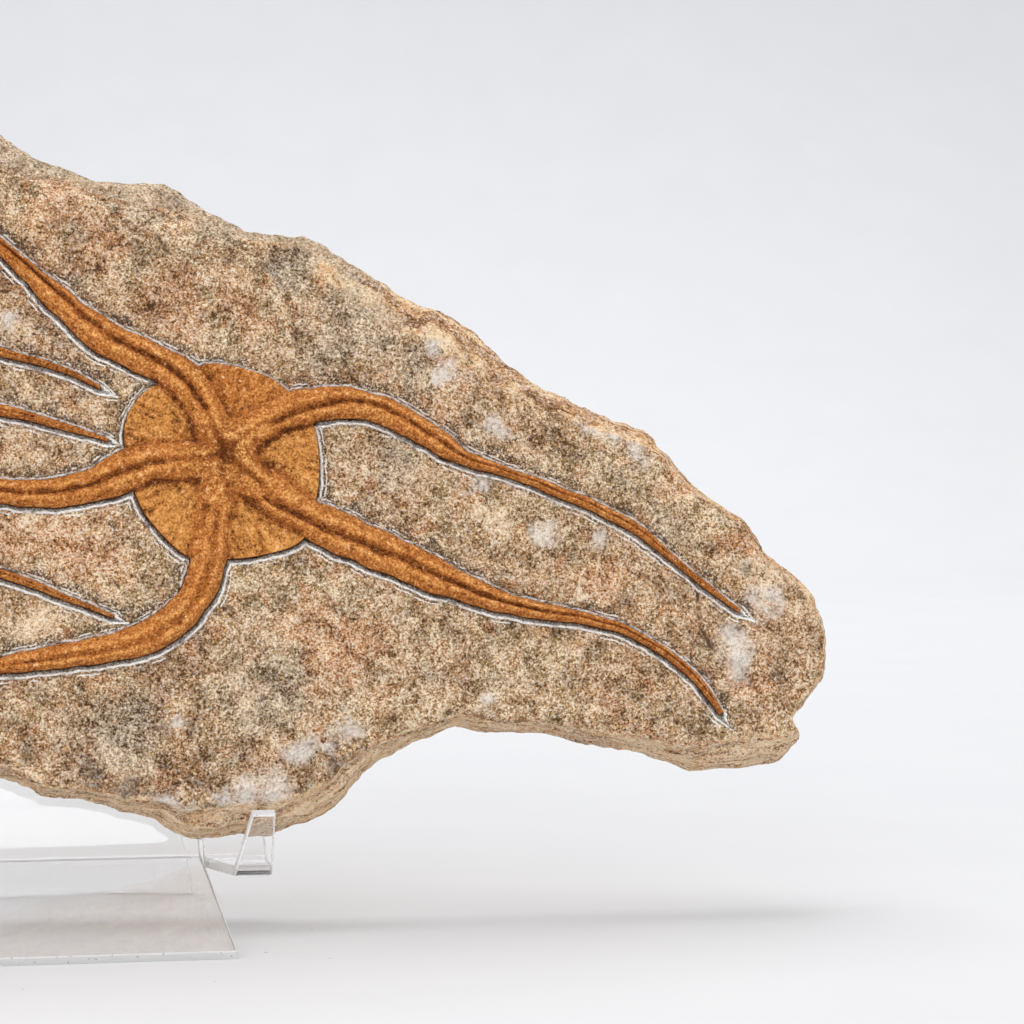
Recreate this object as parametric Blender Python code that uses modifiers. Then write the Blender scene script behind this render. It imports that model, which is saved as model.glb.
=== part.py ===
"""Brittle star fossil: two brittle stars in a leaning slab of sandstone, on a clear acrylic stand.

Metres, +Z up. The origin is on the table under the middle of the whole. The slab's long way is X,
and its prepared face looks to -Y and leans back. Sizes are written in millimetres.
Slab coordinates are u along X, v up the face, and w out of the face.
"""

import math

import bmesh
import bpy
from mathutils import Vector
from mathutils.geometry import delaunay_2d_cdt

MM = 0.001
GAP = 0.3  # between pieces that touch

# The slab
SLAB_THICKNESS = 26.0
SLAB_LEAN = math.radians(12.0)  # of the face, back from upright
FACE_FOOT_Y = -15.7  # where v = 0 and w = 0
FACE_FOOT_Z = 24.8
TOP_WIDEST = 6.0  # depth of the widest line behind the face, along the top
FOOT_WIDEST = 16.0  # and along the underside
BACK_INSET_TOP = 4.5
BACK_INSET_FOOT = 2.4
LEDGE_STEP = 1.3  # bedding ledges along the sides
LEDGE_LENGTH = 23.0  # a ledge waxes and wanes over about this much of the rim
OUTLINE_STEP = 7.5  # longest stretch of the outline between two points
BACK_HOLLOW = 1.6  # how far the split back is hollowed in its upper half
BACK_GRID = 24.0
FACE_SWELL = 0.5  # slow rise and fall of the face
FACE_GRID = 20.0  # spacing of the face's own points

# The fossils and the groove that frees them
FOSSIL_DEPTH = 2.4  # of their underside below the face
RIDGE_HEIGHT = 1.7  # of the two ridges along an arm, over the face
ARM_GROOVE = 0.75  # how far the middle groove is cut below the ridges
EDGE_HEIGHT = 0.1
LOBE_HEIGHT = 0.45
MOUTH_DIP = 0.5
MOUTH_RADIUS = 5.5
TRENCH_DEPTH = 1.1
TRENCH_WIDTH = 2.2
ARM_STEP = 7.5  # longest stretch of an arm between two rows of points

# The acrylic stand, one sheet bent at two lines, with a hook cut from each side of its foot
SHEET = 2.5
STAND_MIDDLE_X = -24.0
FOOT_RISE = math.radians(14.4)
FOOT_FRONT_Y = -47.7  # where its front edge meets the table
FOOT_HALF_FRONT = 79.6
FOOT_HALF_BACK = 74.6
BEND_RADIUS = 5.0  # inside, where the foot turns up
LEG_BACK_Y = 45.6
LEG_LEAN = math.radians(4.5)
LEG_HALF_TABLE = 75.2
APEX_RADIUS = 6.0  # outside, over the top
APEX_HALF = 58.0
HOOK_OUTER = 91.0
HOOK_INNER_ROOT = 75.5
HOOK_INNER_LOW = 81.7
HOOK_INNER_TIP = 85.4
HOOK_FALL = math.radians(2.0)
HOOK_CORNER_Y = -8.7
HOOK_RADIUS = 4.0
LIP_LEAN = math.radians(30.0)
LIP_TIP_Z = 30.6
LAND_TRIM = 0.55  # sheet edges run this far under the table before they are cut flat
POLISHED_EDGE = 0.35

# Outline of the slab, clockwise from the top: u, v, and how far inside it the face's own edge lies
SLAB_OUTLINE = [
    (2.5, 175.5, 7.0), (12.0, 169.5, 5.5), (20.0, 167.0, 4.5), (27.0, 164.0, 4.5), (42.0, 164.0, 7.5),
    (52.0, 158.0, 4.5), (64.5, 151.5, 3.5), (77.0, 150.5, 3.5), (87.0, 145.5, 4.5), (100.5, 137.0, 5.5),
    (107.0, 133.0, 5.5), (116.5, 129.0, 5.0), (130.5, 117.0, 5.5), (144.5, 108.0, 5.5),
    (166.0, 99.0, 5.0), (169.5, 94.0, 3.5), (179.0, 83.5, 3.0), (189.0, 76.5, 3.0), (194.5, 68.0, 3.0),
    (203.0, 61.0, 3.0), (208.0, 53.5, 3.0), (209.5, 44.0, 3.0), (209.0, 37.0, 2.5), (203.5, 28.5, 2.5),
    (200.0, 25.0, 2.0), (202.0, 21.0, 3.0), (198.0, 16.5, 5.5), (187.5, 14.3, 6.5), (176.0, 13.8, 5.5),
    (168.0, 16.8, 2.5), (151.5, 21.0, 1.0), (134.0, 24.2, 1.0), (121.0, 24.6, 1.2), (113.5, 26.0, 1.5),
    (105.5, 23.0, 1.8), (96.5, 18.8, 3.5), (88.5, 12.5, 5.5), (84.5, 7.5, 6.0), (79.0, 4.2, 6.2),
    (71.0, 2.0, 6.2), (62.0, 0.2, 6.8), (53.0, -0.2, 6.5), (45.5, 0.6, 5.5), (38.0, 5.0, 3.0),
    (25.0, 9.3, 1.5), (12.0, 11.2, 1.0), (5.0, 14.8, 1.0), (-8.0, 16.4, 1.5), (-27.0, 15.2, 2.0),
    (-46.0, 14.0, 2.0), (-62.0, 12.5, 2.5), (-74.0, 9.0, 4.0), (-84.0, 4.5, 5.5), (-95.0, 1.0, 6.5),
    (-107.0, 0.4, 6.5), (-118.0, 3.6, 6.0), (-128.0, 11.5, 5.0), (-141.0, 22.0, 4.0),
    (-158.0, 30.0, 4.0), (-176.0, 38.5, 4.0), (-190.0, 49.0, 3.5), (-201.0, 62.5, 3.0),
    (-209.5, 80.0, 3.0), (-206.0, 94.0, 3.0), (-196.0, 107.0, 3.5), (-184.0, 121.0, 4.0),
    (-170.0, 133.5, 4.5), (-151.0, 145.0, 5.0), (-134.0, 158.0, 5.0), (-117.0, 169.0, 4.5),
    (-99.0, 177.0, 4.5), (-80.0, 180.5, 4.0), (-63.0, 185.5, 4.5), (-45.0, 189.5, 5.0),
    (-27.0, 188.5, 6.0), (-12.0, 183.0, 6.5),
]

# The large brittle star. An arm runs out from the mouth: u, v and half its width
LARGE_MOUTH = (57.0, 93.0)
LARGE_ARMS = [
    [(57.0, 93.0, 4.6), (53.8, 100.6, 4.6), (50.6, 107.5, 4.6), (45.8, 113.2, 4.6), (36.3, 118.3, 4.5),
     (26.6, 123.6, 4.2), (16.9, 131.8, 3.2), (9.6, 138.9, 2.3), (2.4, 145.5, 1.8), (-9.7, 155.0, 1.7),
     (-23.0, 163.4, 1.2), (-38.0, 168.4, 0.4)],
    [(57.0, 93.0, 4.6), (63.1, 98.6, 4.5), (70.6, 103.2, 4.5), (78.4, 105.4, 4.5), (87.2, 106.2, 3.9),
     (96.0, 104.2, 3.6), (103.4, 100.5, 3.4), (110.6, 96.0, 2.9), (117.0, 92.0, 1.9),
     (128.0, 88.2, 1.1), (139.0, 84.0, 1.35), (149.5, 79.4, 1.45), (160.6, 73.3, 1.3),
     (168.3, 66.4, 0.8), (178.0, 58.3, 0.7), (185.5, 52.7, 0.35)],
    [(57.0, 93.0, 4.6), (61.0, 89.2, 4.8), (67.5, 84.0, 5.0), (75.5, 78.3, 5.0), (85.5, 72.9, 4.9),
     (99.6, 66.6, 4.5), (110.0, 61.8, 4.1), (118.5, 58.0, 3.1), (127.5, 54.9, 2.4), (136.5, 52.9, 2.0),
     (146.0, 51.2, 1.5), (155.5, 48.4, 1.2), (165.7, 42.6, 1.1), (174.3, 34.6, 1.0),
     (179.6, 26.9, 0.6)],
    [(57.0, 93.0, 4.4), (55.2, 84.0, 4.2), (53.2, 74.5, 4.1), (52.2, 66.5, 4.3), (50.0, 59.7, 4.1),
     (45.3, 53.6, 4.1), (37.8, 48.2, 4.0), (28.1, 45.2, 3.3), (15.5, 43.4, 2.9), (1.8, 41.4, 2.0),
     (-12.4, 37.8, 1.7), (-27.0, 34.8, 1.2), (-43.0, 35.8, 0.4)],
    [(57.0, 93.0, 4.6), (48.2, 91.7, 4.8), (38.4, 91.0, 4.9), (31.0, 88.4, 4.9), (24.9, 85.7, 4.2),
     (16.4, 83.9, 3.5), (7.0, 83.7, 3.2), (-3.0, 85.0, 2.7), (-14.5, 86.9, 2.0), (-29.0, 87.0, 1.3),
     (-46.5, 83.5, 0.4)],
]
LARGE_DISC = [
    (74.5, 106.5), (78.6, 101.0), (80.0, 91.0), (79.0, 81.5), (75.3, 71.5), (65.4, 67.9), (56.6, 67.0),
    (47.8, 67.6), (40.6, 73.8), (35.3, 81.9), (32.3, 95.1), (33.2, 103.1), (39.1, 110.0), (52.3, 115.8),
    (64.6, 113.8), (71.4, 110.2),
]

# The second brittle star, smaller, whose three right-hand arms reach in beside the large one
SECOND_MOUTH = (-79.0, 99.5)
SECOND_ARMS = [
    [(-79.0, 99.5, 3.6), (-76.0, 109.0, 3.7), (-71.5, 118.7, 3.7), (-59.5, 128.0, 3.3),
     (-41.0, 130.0, 2.8), (-21.8, 126.4, 2.2), (2.2, 119.0, 1.5), (16.7, 114.9, 1.0), (26.6, 110.1, 0.35)],
    [(-79.0, 99.5, 3.6), (-70.5, 102.5, 3.8), (-60.0, 106.0, 3.7), (-43.2, 109.6, 3.0),
     (-21.8, 109.2, 2.4), (2.1, 104.6, 1.8), (16.6, 100.6, 1.2), (28.2, 96.9, 0.35)],
    [(-79.0, 99.5, 3.6), (-76.5, 91.0, 3.7), (-71.8, 82.0, 3.7), (-61.0, 72.6, 3.3), (-43.0, 70.0, 2.7),
     (-21.8, 70.4, 2.1), (1.9, 64.1, 1.5), (16.2, 58.5, 1.1), (29.0, 53.2, 0.35)],
    [(-79.0, 99.5, 3.6), (-85.5, 92.0, 3.7), (-92.5, 84.0, 3.7), (-104.0, 69.0, 3.4),
     (-121.0, 59.8, 2.7), (-141.0, 58.0, 1.8), (-158.0, 63.0, 0.4)],
    [(-79.0, 99.5, 3.6), (-85.0, 106.5, 3.7), (-92.0, 114.0, 3.7), (-105.0, 128.0, 3.4),
     (-125.0, 133.0, 2.6), (-144.0, 125.8, 1.8), (-160.0, 108.5, 0.4)],
]
SECOND_DISC = [
    (-57.0, 110.0), (-56.0, 100.0), (-59.5, 88.0), (-67.5, 79.5), (-79.0, 77.0), (-90.0, 79.5),
    (-99.0, 88.5), (-102.0, 100.0), (-98.5, 111.5), (-90.0, 119.5), (-79.5, 122.5), (-67.5, 119.0),
]

collection = bpy.data.collections.new("brittle star fossil")
cutters = bpy.data.collections.new("cutters")


def start_empty():
    for old in list(bpy.data.objects):
        bpy.data.objects.remove(old)
    for group in (collection, cutters):
        bpy.context.scene.collection.children.link(group)


def material(name, colour, roughness, transmission=0.0, ior=1.5):
    made = bpy.data.materials.new(name)
    made.use_nodes = True
    shader = made.node_tree.nodes["Principled BSDF"]
    shader.inputs["Base Color"].default_value = (*colour, 1.0)
    shader.inputs["Roughness"].default_value = roughness
    shader.inputs["Transmission Weight"].default_value = transmission
    shader.inputs["IOR"].default_value = ior
    made.diffuse_color = (*colour, 1.0)
    return made


def add_object(name, bm, look):
    """Makes one named object from a bmesh, with its normals pointing out."""
    bmesh.ops.recalc_face_normals(bm, faces=bm.faces)
    mesh = bpy.data.meshes.new(name)
    bm.to_mesh(mesh)
    bm.free()
    mesh.materials.append(look)
    made = bpy.data.objects.new(name, mesh)
    collection.objects.link(made)
    return made


def blend(a, b, t):
    return a + (b - a) * max(0.0, min(1.0, t))


# ---- Slab coordinates ----


def slab_point(u, v, w):
    """World position, in metres, of a point in slab coordinates."""
    y = FACE_FOOT_Y + v * math.sin(SLAB_LEAN) - w * math.cos(SLAB_LEAN)
    z = FACE_FOOT_Z + v * math.cos(SLAB_LEAN) + w * math.sin(SLAB_LEAN)
    return Vector((u, y, z)) * MM


def swell(u, v):
    """Slow rise and fall of the split face, in millimetres."""
    long_wave = math.sin(u / 31.0 + v / 47.0) * math.cos(v / 23.0 - u / 61.0)
    return FACE_SWELL * long_wave - 0.3 * FACE_SWELL


def through(points, step, closed=False):
    """Points of a smooth curve through the given ones, at most one step apart."""
    count = len(points)
    last = count if closed else count - 1
    curve = []
    for i in range(last):
        if closed:
            ends = [Vector(points[(i + k) % count]) for k in (-1, 0, 1, 2)]
        else:
            ends = [Vector(points[max(0, min(count - 1, i + k))]) for k in (-1, 0, 1, 2)]
        parts = max(1, math.ceil((ends[2] - ends[1]).length / step))
        for k in range(parts):
            t = k / parts
            bend = 2.0 * ends[0] - 5.0 * ends[1] + 4.0 * ends[2] - ends[3]
            twist = 3.0 * (ends[1] - ends[2]) + ends[3] - ends[0]
            curve.append(ends[1] + 0.5 * (t * (ends[2] - ends[0]) + t * t * bend + t**3 * twist))
    if not closed:
        curve.append(Vector(points[-1]))
    return curve


# ---- Outlines of a star, as overlapping flat polygons ----


def side_directions(points):
    """Unit vectors to the left of a route, one at each of its points."""
    found = []
    for i in range(len(points)):
        before = points[max(i - 1, 0)]
        after = points[min(i + 1, len(points) - 1)]
        along = Vector((after[0] - before[0], after[1] - before[1])).normalized()
        found.append(Vector((-along.y, along.x)))
    return found


def widened_arm(arm, extra):
    """An arm's route with extra half width and its tip pushed out by as much."""
    route = [(u, v, half + extra) for u, v, half in through(arm, ARM_STEP)]
    if extra > 0:
        tip = Vector(arm[-1][:2])
        along = (tip - Vector(arm[-2][:2])).normalized()
        tip += along * extra
        route[-1] = (tip.x, tip.y, 0.5 * extra + arm[-1][2])
    return route


def arm_rows(arm, extra, parts):
    """Rows of points across an arm, from its left side to its right."""
    route = widened_arm(arm, extra)
    rows = []
    for (u, v, half), side in zip(route, side_directions(route)):
        centre = Vector((u, v))
        rows.append([centre + side * half * part for part in parts])
    return rows


def widened_disc(disc, mouth, extra):
    middle = Vector(mouth)
    points = []
    for u, v in disc:
        out = (Vector((u, v)) - middle).normalized()
        points.append(Vector((u, v)) + out * extra)
    return points


def star_polygons(arms, disc, mouth, extra, parts=(1.0, -1.0)):
    """Polygons that together cover a star: a strip of cells along each arm, and the disc."""
    polygons = []
    for arm in arms:
        rows = arm_rows(arm, extra, parts)
        for row, after in zip(rows, rows[1:]):
            for i in range(len(parts) - 1):
                polygons.append([row[i], row[i + 1], after[i + 1], after[i]])
    polygons.append(widened_disc(disc, mouth, extra))
    return polygons


def counter_clockwise(polygon):
    area = 0.0
    for a, b in zip(polygon, polygon[1:] + polygon[:1]):
        area += a[0] * b[1] - b[0] * a[1]
    return polygon if area > 0 else polygon[::-1]


def triangulate(polygons, loose=()):
    """Triangles of the union of flat polygons. Each triangle knows which polygons cover it."""
    points = []
    faces = []
    for polygon in polygons:
        ring = counter_clockwise([Vector(p) for p in polygon])
        faces.append(list(range(len(points), len(points) + len(ring))))
        points.extend(ring)
    points.extend(Vector(p) for p in loose)
    corners, _, triangles, _, _, covers = delaunay_2d_cdt(points, [], faces, 0, 0.02)
    kept = [(tuple(t), set(c)) for t, c in zip(triangles, covers) if c]
    return corners, kept


# ---- Relief of a star ----


def arm_place(arm, point):
    """Nearest place on an arm: its distance from the middle line over the half width."""
    best = None
    for (u0, v0, h0), (u1, v1, h1) in zip(arm, arm[1:]):
        start = Vector((u0, v0))
        run = Vector((u1, v1)) - start
        t = max(0.0, min(1.0, (point - start).dot(run) / run.length_squared))
        distance = (point - start - run * t).length
        half = h0 + (h1 - h0) * t
        if best is None or distance - half < best[0] - best[1]:
            best = (distance, half)
    return best[0] / best[1], best[1]


def star_height(arms, mouth, point):
    """Height of the star's surface over the face at a point of slab coordinates."""
    height = LOBE_HEIGHT
    for arm in arms:
        across, half = arm_place(arm, point)
        if across > 1.02:
            continue
        scale = min(1.0, 0.35 + half / 4.0)
        crown = math.sin(math.pi * min(1.0, 0.18 + across * 0.82)) if across < 1.0 else 0.0
        crown = max(0.0, crown) ** 0.7
        groove = ARM_GROOVE * max(0.0, 1.0 - across / 0.42)
        raised = EDGE_HEIGHT + scale * (RIDGE_HEIGHT * crown - 0.4 * groove)
        height = max(height, raised) if half > 3.9 else raised
    from_mouth = (point - Vector(mouth)).length
    if from_mouth < MOUTH_RADIUS:
        height -= MOUTH_DIP * (1.0 - from_mouth / MOUTH_RADIUS)
    return height


def build_star(name, arms, disc, mouth, look):
    """A star as one closed solid: ridged top, upright edges and a flat underside."""
    polygons = star_polygons(arms, disc, mouth, 0.0, parts=(1.0, 0.52, 0.0, -0.52, -1.0))
    corners, triangles = triangulate(polygons)
    bm = bmesh.new()
    top = {}
    low = {}
    for triangle, _ in triangles:
        for i in triangle:
            if i not in top:
                u, v = corners[i]
                height = swell(u, v) + star_height(arms, mouth, corners[i])
                top[i] = bm.verts.new(slab_point(u, v, height))
        bm.faces.new([top[i] for i in triangle])
    rim = [edge for edge in bm.edges if len(edge.link_faces) == 1]
    index_of = {vert: i for i, vert in top.items()}
    for edge in rim:
        a, b = (index_of[vert] for vert in edge.verts)
        for i in (a, b):
            if i not in low:
                u, v = corners[i]
                low[i] = bm.verts.new(slab_point(u, v, -FOSSIL_DEPTH))
        bm.faces.new([top[a], top[b], low[b], low[a]])
    bmesh.ops.triangle_fill(bm, use_beauty=True, edges=[e for e in bm.edges if len(e.link_faces) == 1])
    return add_object(name, bm, look)


# ---- The slab ----


def outward_directions(outline):
    """Outward unit vectors of an outline, averaged over neighbours so that offsets don't cross."""
    count = len(outline)
    plain = []
    for i in range(count):
        before = outline[i - 1]
        after = outline[(i + 1) % count]
        along = Vector((after[0] - before[0], after[1] - before[1])).normalized()
        plain.append(Vector((-along.y, along.x)))
    return [(plain[i - 1] + 2.0 * plain[i] + plain[(i + 1) % count]).normalized() for i in range(count)]


def slab_rings():
    """Rings of (u, v, w) round the slab, from the edge of its face to the edge of its back."""
    outline = through(SLAB_OUTLINE, OUTLINE_STEP, closed=True)
    rings = [[] for _ in range(8)]
    round_rim = 0.0
    for i, ((u, v, inset), out) in enumerate(zip(outline, outward_directions(outline))):
        round_rim += (Vector((u, v)) - Vector(outline[i - 1][:2])).length
        under = max(0.0, min(1.0, 0.5 - 0.9 * out.y))  # 1 on the underside, 0 along the top
        widest = blend(TOP_WIDEST, FOOT_WIDEST, under)
        back_inset = blend(BACK_INSET_TOP, BACK_INSET_FOOT, under)
        behind = SLAB_THICKNESS - widest
        ledges = [LEDGE_STEP * (0.5 + 0.5 * math.sin(round_rim / LEDGE_LENGTH + 2.1 * k)) for k in range(4)]
        places = (
            (-inset, 0.0),
            (-0.62 * inset, -0.28 * widest),
            (-0.42 * inset - 0.25 * ledges[0], -0.42 * widest),
            (0.0, -widest),
            (-0.1 * back_inset - ledges[1], -widest - 0.22 * behind),
            (-0.3 * back_inset - 0.4 * ledges[2], -widest - 0.45 * behind),
            (-0.3 * back_inset - ledges[3], -widest - 0.72 * behind),
            (-back_inset, -SLAB_THICKNESS),
        )
        for ring, (offset, w) in zip(rings, places):
            at = Vector((u, v)) + out * offset
            depth = w if w < 0 else swell(at.x, at.y)
            ring.append((at.x, at.y, depth))
    return rings


def grid_points(spacing):
    """Loose points over the whole slab, in staggered rows."""
    for i in range(int(430 / spacing)):
        for j in range(int(200 / spacing)):
            yield Vector((-215 + (i + 0.5 * (j % 2)) * spacing, j * spacing))


def back_depth(u, v, from_rim):
    """Depth of the back. It is flat low down, where the stand holds it, and uneven above."""
    upper = max(0.0, min(1.0, (v - 105.0) / 25.0)) * min(1.0, from_rim / 12.0)
    scallop = 0.5 + 0.5 * math.sin(u / 27.0) * math.sin(v / 19.0 + u / 55.0)
    return -SLAB_THICKNESS + BACK_HOLLOW * upper * scallop


def add_back(bm, ring, ring_verts):
    """Closes the slab behind, inside its last ring."""
    rim = [Vector(p[:2]) for p in ring]
    corners, triangles = triangulate([rim], grid_points(BACK_GRID))
    verts = {}
    for i, corner in enumerate(corners):
        from_rim, nearest = min(((corner - p).length, k) for k, p in enumerate(rim))
        if from_rim < 0.01:
            verts[i] = ring_verts[nearest]
        elif any(i in triangle for triangle, _ in triangles):
            verts[i] = bm.verts.new(slab_point(*corner, back_depth(*corner, from_rim)))
    for triangle, _ in triangles:
        bm.faces.new([verts[i] for i in triangle])


def build_slab(look):
    rings = slab_rings()
    face_ring = [Vector(p[:2]) for p in rings[0]]
    stars = ((LARGE_ARMS, LARGE_DISC, LARGE_MOUTH), (SECOND_ARMS, SECOND_DISC, SECOND_MOUTH))
    recess = []
    trench = []
    for arms, disc, mouth in stars:
        recess += star_polygons(arms, disc, mouth, GAP + 0.05)
        trench += star_polygons(arms, disc, mouth, GAP + TRENCH_WIDTH)
    polygons = [face_ring] + recess + trench
    corners, triangles = triangulate(polygons, grid_points(FACE_GRID))
    last_recess = len(recess)
    is_recess = [any(1 <= c <= last_recess for c in cover) for _, cover in triangles]
    is_trench = [any(c > last_recess for c in cover) for _, cover in triangles]
    on_face = [0 in cover for _, cover in triangles]
    touches_open = set()
    touches_recess = set()
    for (triangle, _), in_recess, in_trench, inside in zip(triangles, is_recess, is_trench, on_face):
        if not inside:
            continue
        if in_recess:
            touches_recess.update(triangle)
        elif not in_trench:
            touches_open.update(triangle)

    bm = bmesh.new()
    ring_verts = [[bm.verts.new(slab_point(*p)) for p in ring] for ring in rings]
    at_edge = {}
    for vert, point in zip(ring_verts[0], face_ring):
        at_edge[(round(point.x, 3), round(point.y, 3))] = vert
    upper = {}
    lower = {}

    def upper_vert(i):
        if i not in upper:
            u, v = corners[i]
            edge_vert = at_edge.get((round(u, 3), round(v, 3)))
            sunk = TRENCH_DEPTH if i in touches_recess else 0.0
            if not sunk and i not in touches_open:
                sunk = 0.5 * TRENCH_DEPTH
            upper[i] = edge_vert or bm.verts.new(slab_point(u, v, swell(u, v) - sunk))
        return upper[i]

    def lower_vert(i):
        if i not in lower:
            u, v = corners[i]
            lower[i] = bm.verts.new(slab_point(u, v, -FOSSIL_DEPTH - GAP))
        return lower[i]

    open_edges = {}
    for (triangle, _), in_recess, inside in zip(triangles, is_recess, on_face):
        if not inside:
            continue
        pick = lower_vert if in_recess else upper_vert
        bm.faces.new([pick(i) for i in triangle])
        for a, b in zip(triangle, triangle[1:] + triangle[:1]):
            open_edges.setdefault(frozenset((a, b)), set()).add(in_recess)
    for edge, kinds in open_edges.items():
        if len(kinds) == 2:
            a, b = edge
            bm.faces.new([upper_vert(a), upper_vert(b), lower_vert(b), lower_vert(a)])

    for ring, after in zip(ring_verts, ring_verts[1:]):
        for i in range(len(ring)):
            bm.faces.new([ring[i - 1], ring[i], after[i], after[i - 1]])
    add_back(bm, rings[-1], ring_verts[-1])
    bmesh.ops.triangulate(bm, faces=[f for f in bm.faces if len(f.verts) > 3])
    return add_object("rock_slab", bm, look)


# ---- The acrylic stand ----


def arc(centre, radius, start, end, steps):
    """Points of an arc in the Y-Z plane. Angles are in radians, from +Y towards +Z."""
    points = []
    for i in range(steps + 1):
        angle = start + (end - start) * i / steps
        points.append((centre[0] + radius * math.cos(angle), centre[1] + radius * math.sin(angle)))
    return points


def backrest_point(v):
    """Y and Z of the backrest's front, v up along the slab's back."""
    depth = SLAB_THICKNESS + GAP
    y = FACE_FOOT_Y + v * math.sin(SLAB_LEAN) + depth * math.cos(SLAB_LEAN)
    z = FACE_FOOT_Z + v * math.cos(SLAB_LEAN) - depth * math.sin(SLAB_LEAN)
    return Vector((y, z))


def foot_front_top():
    """Upper corner of the foot's front edge, whose lower corner is cut off by the table."""
    y = FOOT_FRONT_Y + LAND_TRIM * math.tan(FOOT_RISE) - SHEET * math.sin(FOOT_RISE)
    return Vector((y, SHEET * math.cos(FOOT_RISE) - LAND_TRIM))


def lower_bend_centre():
    """Centre of the inside of the bend, one radius from the foot's top and from the backrest."""
    foot_normal = Vector((-math.sin(FOOT_RISE), math.cos(FOOT_RISE)))
    forward = Vector((-math.cos(SLAB_LEAN), math.sin(SLAB_LEAN)))
    up = Vector((math.sin(SLAB_LEAN), math.cos(SLAB_LEAN)))
    base = backrest_point(0.0) + forward * BEND_RADIUS
    from_foot = (base - foot_front_top()).dot(foot_normal)
    return base + up * (BEND_RADIUS - from_foot) / up.dot(foot_normal)


def apex_centre():
    """Centre of the bend over the top, one radius behind the backrest and inside the leg."""
    leg_normal = Vector((math.cos(LEG_LEAN), math.sin(LEG_LEAN)))
    backward = Vector((math.cos(SLAB_LEAN), -math.sin(SLAB_LEAN)))
    up = Vector((math.sin(SLAB_LEAN), math.cos(SLAB_LEAN)))
    base = backrest_point(0.0) + backward * APEX_RADIUS
    from_leg = (base - Vector((LEG_BACK_Y, 0.0))).dot(leg_normal)
    return base - up * (from_leg + APEX_RADIUS) / up.dot(leg_normal)


def foot_profile():
    """The foot's top, from its front edge to the end of the bend on the backrest."""
    bend = arc(lower_bend_centre(), BEND_RADIUS, FOOT_RISE - math.pi / 2, -SLAB_LEAN, 5)
    return [tuple(foot_front_top())] + bend


def upper_profile():
    """The backrest, the bend over the top and the rear leg, down past the table."""
    bend = arc(apex_centre(), APEX_RADIUS, math.pi - SLAB_LEAN, LEG_LEAN, 12)
    end = (LEG_BACK_Y + LAND_TRIM * math.tan(LEG_LEAN), -LAND_TRIM)
    return bend + [end]


def hook_profile():
    """A hook's inside, from the tip of its lip to the end of the bend on the backrest."""
    centre = lower_bend_centre()
    rear = arc(centre, BEND_RADIUS, HOOK_FALL - math.pi / 2, -SLAB_LEAN, 6)
    corner_z = rear[0][1] + (HOOK_CORNER_Y - rear[0][0]) * math.tan(HOOK_FALL)
    turn = math.pi / 2 - LIP_LEAN + HOOK_FALL
    reach = HOOK_RADIUS * math.tan(turn / 2)
    level = Vector((math.cos(HOOK_FALL), math.sin(HOOK_FALL)))
    start = Vector((HOOK_CORNER_Y, corner_z)) + level * reach
    middle = start + Vector((-level.y, level.x)) * HOOK_RADIUS
    front = arc(middle, HOOK_RADIUS, -math.pi + LIP_LEAN, HOOK_FALL - math.pi / 2, 5)
    rise = (LIP_TIP_Z - front[0][1]) / math.cos(LIP_LEAN)
    tip = (front[0][0] - rise * math.sin(LIP_LEAN), LIP_TIP_Z)
    return [tip] + front + rear


def add_strip(bm, profile, lines, first=None):
    """Faces along a profile. lines(k) gives the X of each vertex in row k, in millimetres."""
    rows = []
    for k, (y, z) in enumerate(profile):
        rows.append([bm.verts.new(Vector((x, y, z)) * MM) for x in lines(k)])
    if first is not None:
        rows[-1] = first
    for row, after in zip(rows, rows[1:]):
        for i in range(len(row) - 1):
            bm.faces.new([row[i], row[i + 1], after[i + 1], after[i]])
    return rows


def build_stand(look):
    """One sheet, drawn as its half surface on the slab's side, then mirrored and given thickness."""
    bm = bmesh.new()
    top_start = apex_centre().y

    upper = upper_profile()
    foot = foot_profile()
    hook = hook_profile()
    join = foot[-1]

    def upper_lines(k):
        height = (join, *upper)[k][1]
        edge = blend(HOOK_OUTER, APEX_HALF, (height - join[1]) / (top_start - join[1]))
        if k > 1:
            edge = blend(APEX_HALF, LEG_HALF_TABLE, (top_start - height) / top_start) if k > 7 else APEX_HALF
        inner = FOOT_HALF_BACK * edge / HOOK_OUTER
        middle = HOOK_INNER_ROOT * edge / HOOK_OUTER
        return (0.0, inner, middle, edge)

    rows = add_strip(bm, [join] + upper, upper_lines)
    join_row = rows[0]

    def foot_lines(k):
        share = (foot[k][0] - foot[0][0]) / (join[0] - foot[0][0])
        return (0.0, blend(FOOT_HALF_FRONT, FOOT_HALF_BACK, share))

    def hook_lines(k):
        y, z = hook[k]
        if k < 6:
            inner = blend(HOOK_INNER_LOW, HOOK_INNER_TIP, (z - hook[6][1]) / (LIP_TIP_Z - hook[6][1]))
        else:
            inner = blend(HOOK_INNER_LOW, HOOK_INNER_ROOT, (y - hook[6][0]) / (hook[7][0] - hook[6][0]))
        return (inner, HOOK_OUTER)

    add_strip(bm, foot, foot_lines, first=join_row[:2])
    add_strip(bm, hook, hook_lines, first=join_row[2:])
    bmesh.ops.delete(bm, geom=[vert for vert in bm.verts if not vert.link_faces], context="VERTS")
    stand = add_object("acrylic_stand", bm, look)
    stand.location.x = STAND_MIDDLE_X * MM

    mirror = stand.modifiers.new("both halves", "MIRROR")
    mirror.merge_threshold = 0.0001
    solidify = stand.modifiers.new("sheet", "SOLIDIFY")
    solidify.thickness = SHEET * MM
    solidify.offset = -1.0
    solidify.use_even_offset = True
    bevel = stand.modifiers.new("polished edges", "BEVEL")
    bevel.width = POLISHED_EDGE * MM
    bevel.segments = 1
    bevel.limit_method = "ANGLE"
    bevel.angle_limit = math.radians(60)
    cut = stand.modifiers.new("flat on the table", "BOOLEAN")
    cut.operation = "DIFFERENCE"
    cut.object = table_cutter()
    return stand


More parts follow.
